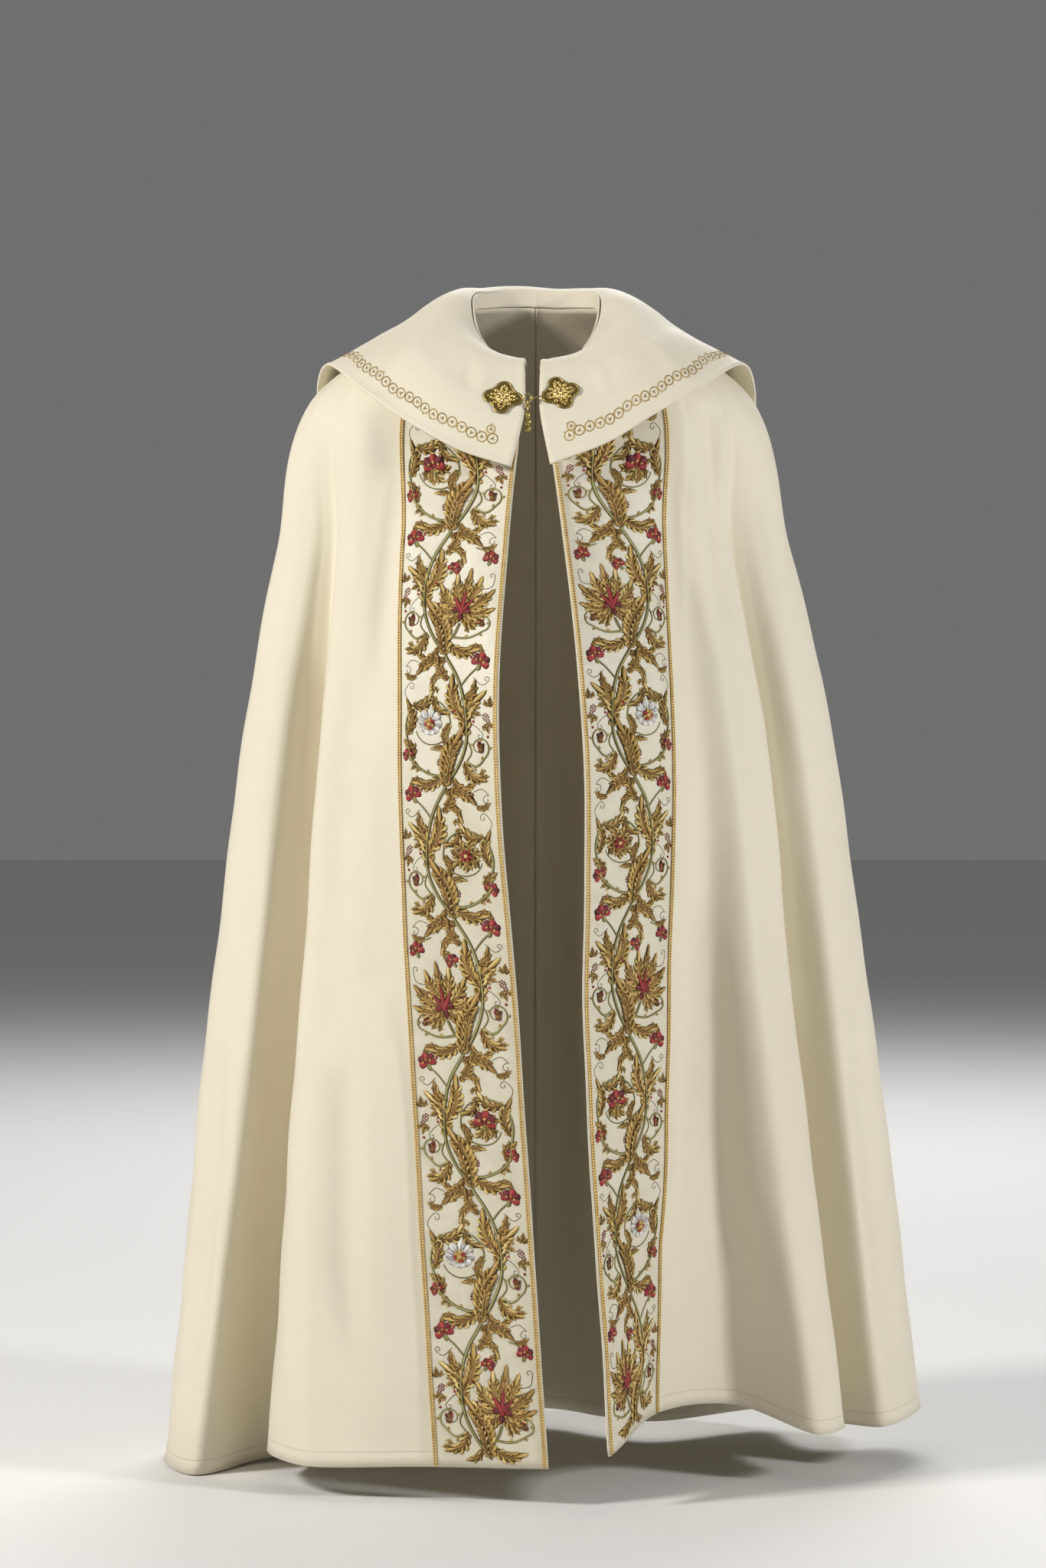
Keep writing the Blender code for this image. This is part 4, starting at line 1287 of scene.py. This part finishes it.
def collar(drape, finish, threads):
    down = spread(drape.down, COLLAR_FACETS_DOWN)
    around = spread(drape.around, [COLLAR_FACETS_AROUND] * (len(COLLAR_HANGS) - 1))
    points = drape.read(down, around)
    edge = hem_distance(points)
    sides = lengths(points, 1)
    edge = np.minimum(edge, np.minimum(sides, sides[:, [-1]] - sides))
    out = outward(points)
    for inside, high, width in (EDGE_ROLL, EDGE_STITCH):
        points = points + out * (high * bell(edge - inside, width))[..., None]
    plain = np.ones_like(edge)
    mesh = grid_mesh("collar", points, cut=cut(points), hem=plain, seam=plain)
    cloth = piece("collar_cloth", mesh, [finish], stands_for=["collar"])
    thickened(cloth, COLLAR_WALL)
    ground = Ground(points, outward(points), 0.0)
    _, length = ground.by_edge(np.zeros((1, 3)), VINE_INSIDE * MM)
    stitches = mesh_of(collar_vine(length / MM).bm, "collar_vine")
    placed, _ = ground.by_edge(read_points(stitches) * MM, VINE_INSIDE * MM)
    write_points(stitches, placed)
    piece("collar_embroidery", stitches, threads, smooth=False)
    return points


def neckband(seam, finish):
    """The stand inside the collar, up from the cope's neck seam."""
    around = np.degrees(np.arctan2(-seam[:, 0], -seam[:, 1])) % 360
    up = np.array([0, 0, 1.0])
    foot, top = seam + up * SEAM, seam + up * (neck_heights(around)[:, [1]] - SEAM)
    points = top + (foot - top) * np.linspace(0, 1, NECKBAND_ROWS)[:, None, None]
    plain = np.ones(points.shape[:2])
    mesh = grid_mesh("neckband", points, cut=cut(points), hem=plain, seam=plain)
    cloth = piece("neckband_cloth", mesh, [finish], stands_for=["neckband"])
    thickened(cloth, NECKBAND_WALL)


# The clasp's sizes and places, as the solids have them.
PLATE_HALF, PLATE_WALL, PLATE_SEAT, LOBE_RADIUS = 0.0235, 0.0020, 0.0008, 0.0098
PLATE_MIDDLE = 0.0176  # the round middle that fills the corners between the lobes
BOSS_RADIUS, BOSS_HEIGHT = 0.0075, 0.0040
# The plate's relief: its four quarters, a lobe's middle and a stud's from the plate's, the
# scrolls of a lobe in millimetres with the way each winds, and what is counted round.
QUARTERS = np.arange(4) * math.pi / 2
LOBE_OUT, STUD_OUT = PLATE_HALF - LOBE_RADIUS, 0.0122
SCROLLS, SCROLL_SIZE = ((0.6, 2.6, 1), (-3.2, 2.9, -1)), 2.6
RIM_BEADS, BOSS_BEADS, BOSS_PETALS = 64, 30, 8
PLATES = (("left", (-0.0400, -0.1055), -8), ("right", (0.0285, -0.1000), 20))
RING_RADIUS, RING_WIRE = 0.0048, 0.0008
HANG_Y = -0.1355
RING_AT = (-0.0105, -0.1065)
EYE_RADIUS, EYE_WIRE = 0.0021, 0.0006
HOOK_RADIUS, HOOK_WIRE, HOOK_ROOT, HOOK_LIFT = 0.0022, 0.0008, (0.0095, -0.1050), 0.0006
LINK_COUNT, LINK_HALF_WIDTH, LINK_HALF_LENGTH, LINK_WIRE = 3, 0.0018, 0.0026, 0.0005
LINK_PITCH = 2 * LINK_HALF_LENGTH - 2 * LINK_WIRE - SEAM
DROP_BOSSES, DROP_BOSS_PITCH = (0.0030, 0.0042, 0.0045), 0.0078
DROP_NECK, DROP_FLATNESS = 0.0021, 0.45
# The drawn plate's rows of points from its middle, with those down its side and under it.
PLATE_SIDES, PLATE_ROWS, SIDE_ROWS, FOOT_ROWS = 240, 80, 8, 4
# Facets round a wire, the steps along each and how its ends are rounded.
WIRE_SIDES, RING_STEPS, EYE_STEPS, HOOK_STEPS, LINK_STEPS = 14, 72, 40, 60, 36
WIRE_END = np.array([0, 0.5, 0.8, 0.95])
DROP_ROWS, DROP_SIDES = 121, 48
WELD = 2e-6


def facing(points, x, z):
    """The cloth's point and normal nearest to a place seen from the front."""
    normals = outward(points)
    behind = points[:, :, 1] > 0
    far = np.where(behind, np.inf, np.hypot(points[:, :, 0] - x, points[:, :, 2] - z))
    r, c = np.unravel_index(np.argsort(far, axis=None)[:4], far.shape)
    weight = 1 / (far[r, c] + 1e-6)
    weight /= weight.sum()
    normal = unit((normals[r, c] * weight[:, None]).sum(axis=0))
    point = (points[r, c] * weight[:, None]).sum(axis=0)
    depth = point[1] - (normal[0] * (x - point[0]) + normal[2] * (z - point[2])) / normal[1]
    return Vector((x, depth, z)), Vector(normal)


def full_turn(sides):
    """Angles once round, the last on the first again."""
    return np.linspace(0, 2 * math.pi, sides + 1)


def gilt_piece(name, points, high, finish, stands_for, body="cope"):
    """A closed piece of metal from a grid of points, its seams and poles welded."""
    mesh = grid_mesh(name, points, high=high)
    bm = bmesh.new()
    bm.from_mesh(mesh)
    bmesh.ops.remove_doubles(bm, verts=bm.verts, dist=WELD)
    bmesh.ops.recalc_face_normals(bm, faces=bm.faces)
    bm.to_mesh(mesh)
    bm.free()
    piece(name, mesh, [finish], body, stands_for)


def plate_reach(turn):
    """How far the plate's edge is from its middle: four round lobes round a disc."""
    best = np.full_like(turn, PLATE_MIDDLE)
    for quarter in QUARTERS:
        off = turn - quarter
        across = LOBE_OUT * np.sin(off)
        inside = (np.abs(across) < LOBE_RADIUS) & (np.cos(off) > 0)
        lobe_edge = LOBE_OUT * np.cos(off) + np.sqrt(np.maximum(LOBE_RADIUS**2 - across**2, 0))
        best = np.where(inside, np.maximum(best, lobe_edge), best)
    return best


def hump(away, half):
    """A round rise: 1 at no distance and 0 from half its width on."""
    return np.maximum(0, 1 - (away / half) ** 2) ** 0.5


def plate_relief(x, y, inside):
    """The plate's height over its back: a beaded rim, scrolled lobes and petals round a boss."""
    turn, far = np.arctan2(y, x), np.hypot(x, y)
    high = np.full_like(far, 0.60 * PLATE_WALL)
    high += 0.0009 * hump(inside - 0.0011, 0.0010) * (0.84 + 0.16 * np.cos(turn * RIM_BEADS))
    high += 0.0004 * hump(inside - 0.0032, 0.0006)
    field = inside > 0.0036
    for a in QUARTERS:
        # Across and out of each lobe, in millimetres from its middle.
        u = (x * math.cos(a) + y * math.sin(a) - LOBE_OUT) / MM
        v = np.abs(-x * math.sin(a) + y * math.cos(a)) / MM
        for cu, cv, hand in SCROLLS:
            away, round_it = np.hypot(u - cu, v - cv), np.arctan2(v - cv, u - cu)
            winding = 0.5 + 0.5 * np.cos(round_it * hand - away * 3.4 + 0.6)
            scrolled = 0.0012 * winding**1.5 * (1 - (away / SCROLL_SIZE) ** 4)
            high += np.where(field & (away < SCROLL_SIZE), scrolled, 0)
            high += 0.0010 * hump(away, 0.8)
        high += 0.0011 * hump(np.hypot((u - 3.6) / 1.5, v / 1.1), 1)
        high += 0.0008 * hump(np.hypot((u + 0.4) / 3.0, v / 0.55), 1)
    for a in QUARTERS + math.pi / 4:
        away = np.hypot(x - STUD_OUT * math.cos(a), y - STUD_OUT * math.sin(a))
        high += 0.0013 * hump(away, 0.0024) - 0.0010 * hump(away, 0.0010)
    ring = hump(far - BOSS_RADIUS * 1.12, 0.0007) * (0.7 + 0.3 * np.cos(turn * BOSS_BEADS))
    high = np.maximum(high, PLATE_WALL * 0.8 + 0.0007 * ring)
    share = np.clip(far / BOSS_RADIUS, 0, 1)
    dome = PLATE_WALL * 0.8 + (BOSS_HEIGHT - PLATE_WALL * 0.8) * (1 - share**2) ** 0.5
    petals = 0.5 + 0.5 * np.cos(turn * BOSS_PETALS)
    dome -= 0.0017 * (1 - petals) ** 1.4 * np.sin(math.pi * np.clip((share - 0.22) / 0.78, 0, 1))
    dome -= 0.0016 * hump(share - 0.52, 0.12)
    return np.where(far < BOSS_RADIUS, np.maximum(dome, PLATE_WALL * 0.5), high)


def clasp_plate(side, at, turn, collar_points, finish):
    point, normal = facing(collar_points, *at)
    facing_out = normal.to_track_quat("Z", "Y").to_matrix().to_4x4()
    turned = Matrix.Rotation(math.radians(turn), 4, "Z")
    placed = Matrix.Translation(point + normal * PLATE_SEAT) @ facing_out @ turned
    turns = full_turn(PLATE_SIDES)
    rest = SIDE_ROWS + FOOT_ROWS
    share = np.concatenate([np.linspace(0, 1, PLATE_ROWS) ** 0.9, np.ones(rest)])[:, None]
    edge = plate_reach(turns)
    edge_x, edge_y = edge * np.cos(turns), edge * np.sin(turns)
    x, y = share * edge_x, share * edge_y
    inside = np.hypot(x[..., None] - edge_x, y[..., None] - edge_y).min(axis=2)
    z = plate_relief(x, y, inside)
    z[-rest:-FOOT_ROWS] = z[-rest - 1] * np.linspace(1, 0, SIDE_ROWS)[:, None]
    shrink = np.linspace(1, 0, FOOT_ROWS)[:, None]
    x[-FOOT_ROWS:], y[-FOOT_ROWS:] = x[-rest - 1] * shrink, y[-rest - 1] * shrink
    z[-FOOT_ROWS:] = 0
    local = np.stack([x, y, z, np.ones_like(z)], axis=2)
    points = (local @ np.array(placed).T)[..., :3]
    high = np.clip((z / PLATE_WALL - 0.45) / 0.9, 0, 1)
    gilt_piece(f"plate_{side}", points, high, finish, [f"clasp_plate_{side}"])


def wire(name, path, radius, closed, finish, body="cope", stands_for=()):
    """A round wire bent along a path, closed into a loop or with rounded ends."""
    path = np.array(path, float)
    size = np.full(len(path) + closed, radius)
    if closed:
        way = np.roll(path, -1, axis=0) - np.roll(path, 1, axis=0)
        path, way = np.concatenate([path, path[:1]]), np.concatenate([way, way[:1]])
    else:
        way = np.gradient(path, axis=0)
        size[:4] *= WIRE_END
        size[-4:] *= WIRE_END[::-1]
    middle = path.mean(axis=0)
    flat = unit(np.cross(path[0] - middle, path[len(path) // 3] - middle))
    side = unit(np.cross(unit(way), flat))
    turns = full_turn(WIRE_SIDES)
    ring = side[:, None] * np.cos(turns)[:, None] + flat * np.sin(turns)[:, None]
    points = path[:, None] + size[:, None, None] * ring
    high = np.broadcast_to(0.55 + 0.25 * np.cos(turns), points.shape[:2])
    gilt_piece(name, points, high, finish, stands_for, body)


def loop_path(middle, out, up, half_width, half_length, count):
    a = 2 * math.pi * (np.arange(count) + 0.5) / count
    straight = np.where(np.sin(a) > 0, 1, -1) * (half_length - half_width)
    return (
        np.array(middle)
        + np.outer(half_width * np.cos(a), out)
        + np.outer(straight + half_width * np.sin(a), up)
    )


def clasp(collar_points, finish):
    for side, at, turn in PLATES:
        clasp_plate(side, at, turn, collar_points, finish)
    x_axis, y_axis, z_axis = Vector((1, 0, 0)), Vector((0, 1, 0)), Vector((0, 0, 1))
    ring = Vector((RING_AT[0], HANG_Y, RING_AT[1]))
    path = loop_path(ring, x_axis, z_axis, RING_RADIUS, RING_RADIUS, RING_STEPS)
    wire("ring", path, RING_WIRE, True, finish, stands_for=["clasp_ring"])
    path = loop_path(ring - x_axis * RING_RADIUS, x_axis, y_axis, EYE_RADIUS, EYE_RADIUS, EYE_STEPS)
    wire("eye", path, EYE_WIRE, True, finish, stands_for=["clasp_eye"])
    root, normal = facing(collar_points, *HOOK_ROOT)
    root += normal * (PLATE_SEAT + PLATE_WALL + HOOK_LIFT + HOOK_WIRE)
    bend = ring + x_axis * RING_RADIUS
    path = [root, root.lerp(bend + y_axis * HOOK_RADIUS, 0.5)]
    for degrees in range(90, 331, 10):
        a = math.radians(degrees)
        path.append(bend + HOOK_RADIUS * (x_axis * math.cos(a) + y_axis * math.sin(a)))
    wire("hook", curve(path, HOOK_STEPS), HOOK_WIRE, False, finish, stands_for=["clasp_hook"])
    top = ring - z_axis * (RING_RADIUS - RING_WIRE - SEAM - LINK_WIRE)
    for i in range(LINK_COUNT):
        flat = y_axis if i % 2 == 0 else x_axis
        middle = top - z_axis * (LINK_HALF_LENGTH + i * LINK_PITCH)
        path = loop_path(middle, flat, z_axis, LINK_HALF_WIDTH, LINK_HALF_LENGTH, LINK_STEPS)
        node = f"chain_link_{i + 1}"
        wire(f"link_{i + 1}", path, LINK_WIRE, True, finish, "clasp_tail", [node])
    end = (LINK_COUNT - 1) * LINK_PITCH + 2 * LINK_HALF_LENGTH + LINK_WIRE + SEAM
    clasp_drop(top - z_axis * end, finish)


def clasp_drop(top, finish):
    """Three flat bosses in a row, each with a beaded rim and a round heart."""
    share = np.linspace(0, len(DROP_BOSSES), DROP_ROWS)
    k = np.minimum(share.astype(int), len(DROP_BOSSES) - 1)
    along = ((share - k) * 2 - 1)[:, None]
    half = np.array(DROP_BOSSES)[k][:, None]
    width = np.maximum(half * np.sqrt(np.maximum(1 - along**2, 0)), DROP_NECK / 2)
    width[[0, -1]] = 0
    turns = full_turn(DROP_SIDES)
    over = width * np.cos(turns)
    from_heart = np.hypot(over / half, along)
    relief = 0.10 * bell(from_heart - 0.80, 0.10) - 0.22 * bell(from_heart - 0.60, 0.10)
    deep = DROP_FLATNESS * width * np.sin(turns) * (0.92 + relief)
    down = np.broadcast_to(-DROP_BOSS_PITCH * share[:, None], over.shape)
    points = np.array(top) + np.stack([over, deep, down], axis=2)
    high = np.clip(0.62 + relief * 2.4, 0, 1)
    gilt_piece("drop", points, high, finish, ["clasp_drop"], "clasp_tail")


CAMERA_AT = (-0.016, -5.0, -0.565)
SENSOR_HEIGHT, FOCAL_LENGTH = 36.0, 94.0078125  # the view is narrow: the camera stands 5 m away
FLOOR_Z = cad_box[0][2] - 0.001  # just under the lowest of the hem
FLOOR_HALF = 40
# Soft square lights: where each is, where it points, its side, its power and its colour.
LIGHTS = (
    ("key", (-3.5, -2.0, 1.6), (0, 0, -0.6), 0.8, 165, (1.0, 0.98, 0.95)),
    ("fill", (3.4, -2.1, 0.7), (0, 0, -0.7), 0.6, 92, (0.97, 0.98, 1.0)),
    ("behind", (0.8, 5.0, 3.4), (0, 2.2, FLOOR_Z), 3.5, 230, (1.0, 1.0, 1.0)),
)
WORLD_GREY, WORLD_STRENGTH = (0.80, 0.80, 0.81, 1), 0.20


def photographed():
    """The camera: level, in front, at half the cope's height."""
    data = bpy.data.cameras.new("camera")
    data.sensor_fit, data.sensor_height = "VERTICAL", SENSOR_HEIGHT
    data.lens = FOCAL_LENGTH
    camera = linked("camera", data)
    camera.location = CAMERA_AT
    camera.rotation_euler = (math.radians(90), 0, 0)
    bpy.context.scene.camera = camera


def lit(name, at, towards, size, power, colour):
    data = bpy.data.lights.new(name, "AREA")
    data.size, data.energy, data.color = size, power, colour
    light = linked(name, data)
    light.location = at
    light.rotation_euler = (Vector(towards) - Vector(at)).to_track_quat("-Z", "Y").to_euler()


def studio():
    mesh = flat_grid("floor", 2, 2, FLOOR_HALF)
    write_points(mesh, read_points(mesh) + (0, 0, FLOOR_Z))
    pale = Finish("floor_finish", base_color=(0.80, 0.79, 0.77, 1), roughness=0.85)
    mesh.materials.append(pale.material)
    floor = linked("floor", mesh)
    for light in LIGHTS:
        lit(*light)
    world = bpy.data.worlds.new("studio")
    world.use_nodes = True
    background = world.node_tree.nodes["Background"]
    background.inputs["Color"].default_value = WORLD_GREY
    background.inputs["Strength"].default_value = WORLD_STRENGTH
    bpy.context.scene.world = world
    bpy.context.scene.view_settings.view_transform = "Standard"


def make_everything():
    photographed()
    wool, satin, gilded = ivory_wool(), cream_satin(), gilt()
    threads = [thread_finish(name) for name in THREADS]
    cords = [braid_gold(), braid_pale()]
    cope = Drape(np.stack([fall_points(fall) for fall in FALLS]), 0.5, COPE_CREASES)
    points, middle, off_seam = cope_points(cope)
    cope_cloth(points, middle, off_seam, wool)
    front_bands(points, satin, threads, cords)
    under_plates = [at for _, at, _ in PLATES]
    hung = Drape(collar_lines(), 1.0, COLLAR_CREASES, under_plates)
    collar_points = collar(hung, wool, threads)
    neckband(points[0], wool)
    clasp(collar_points, gilded)
    studio()


make_everything()
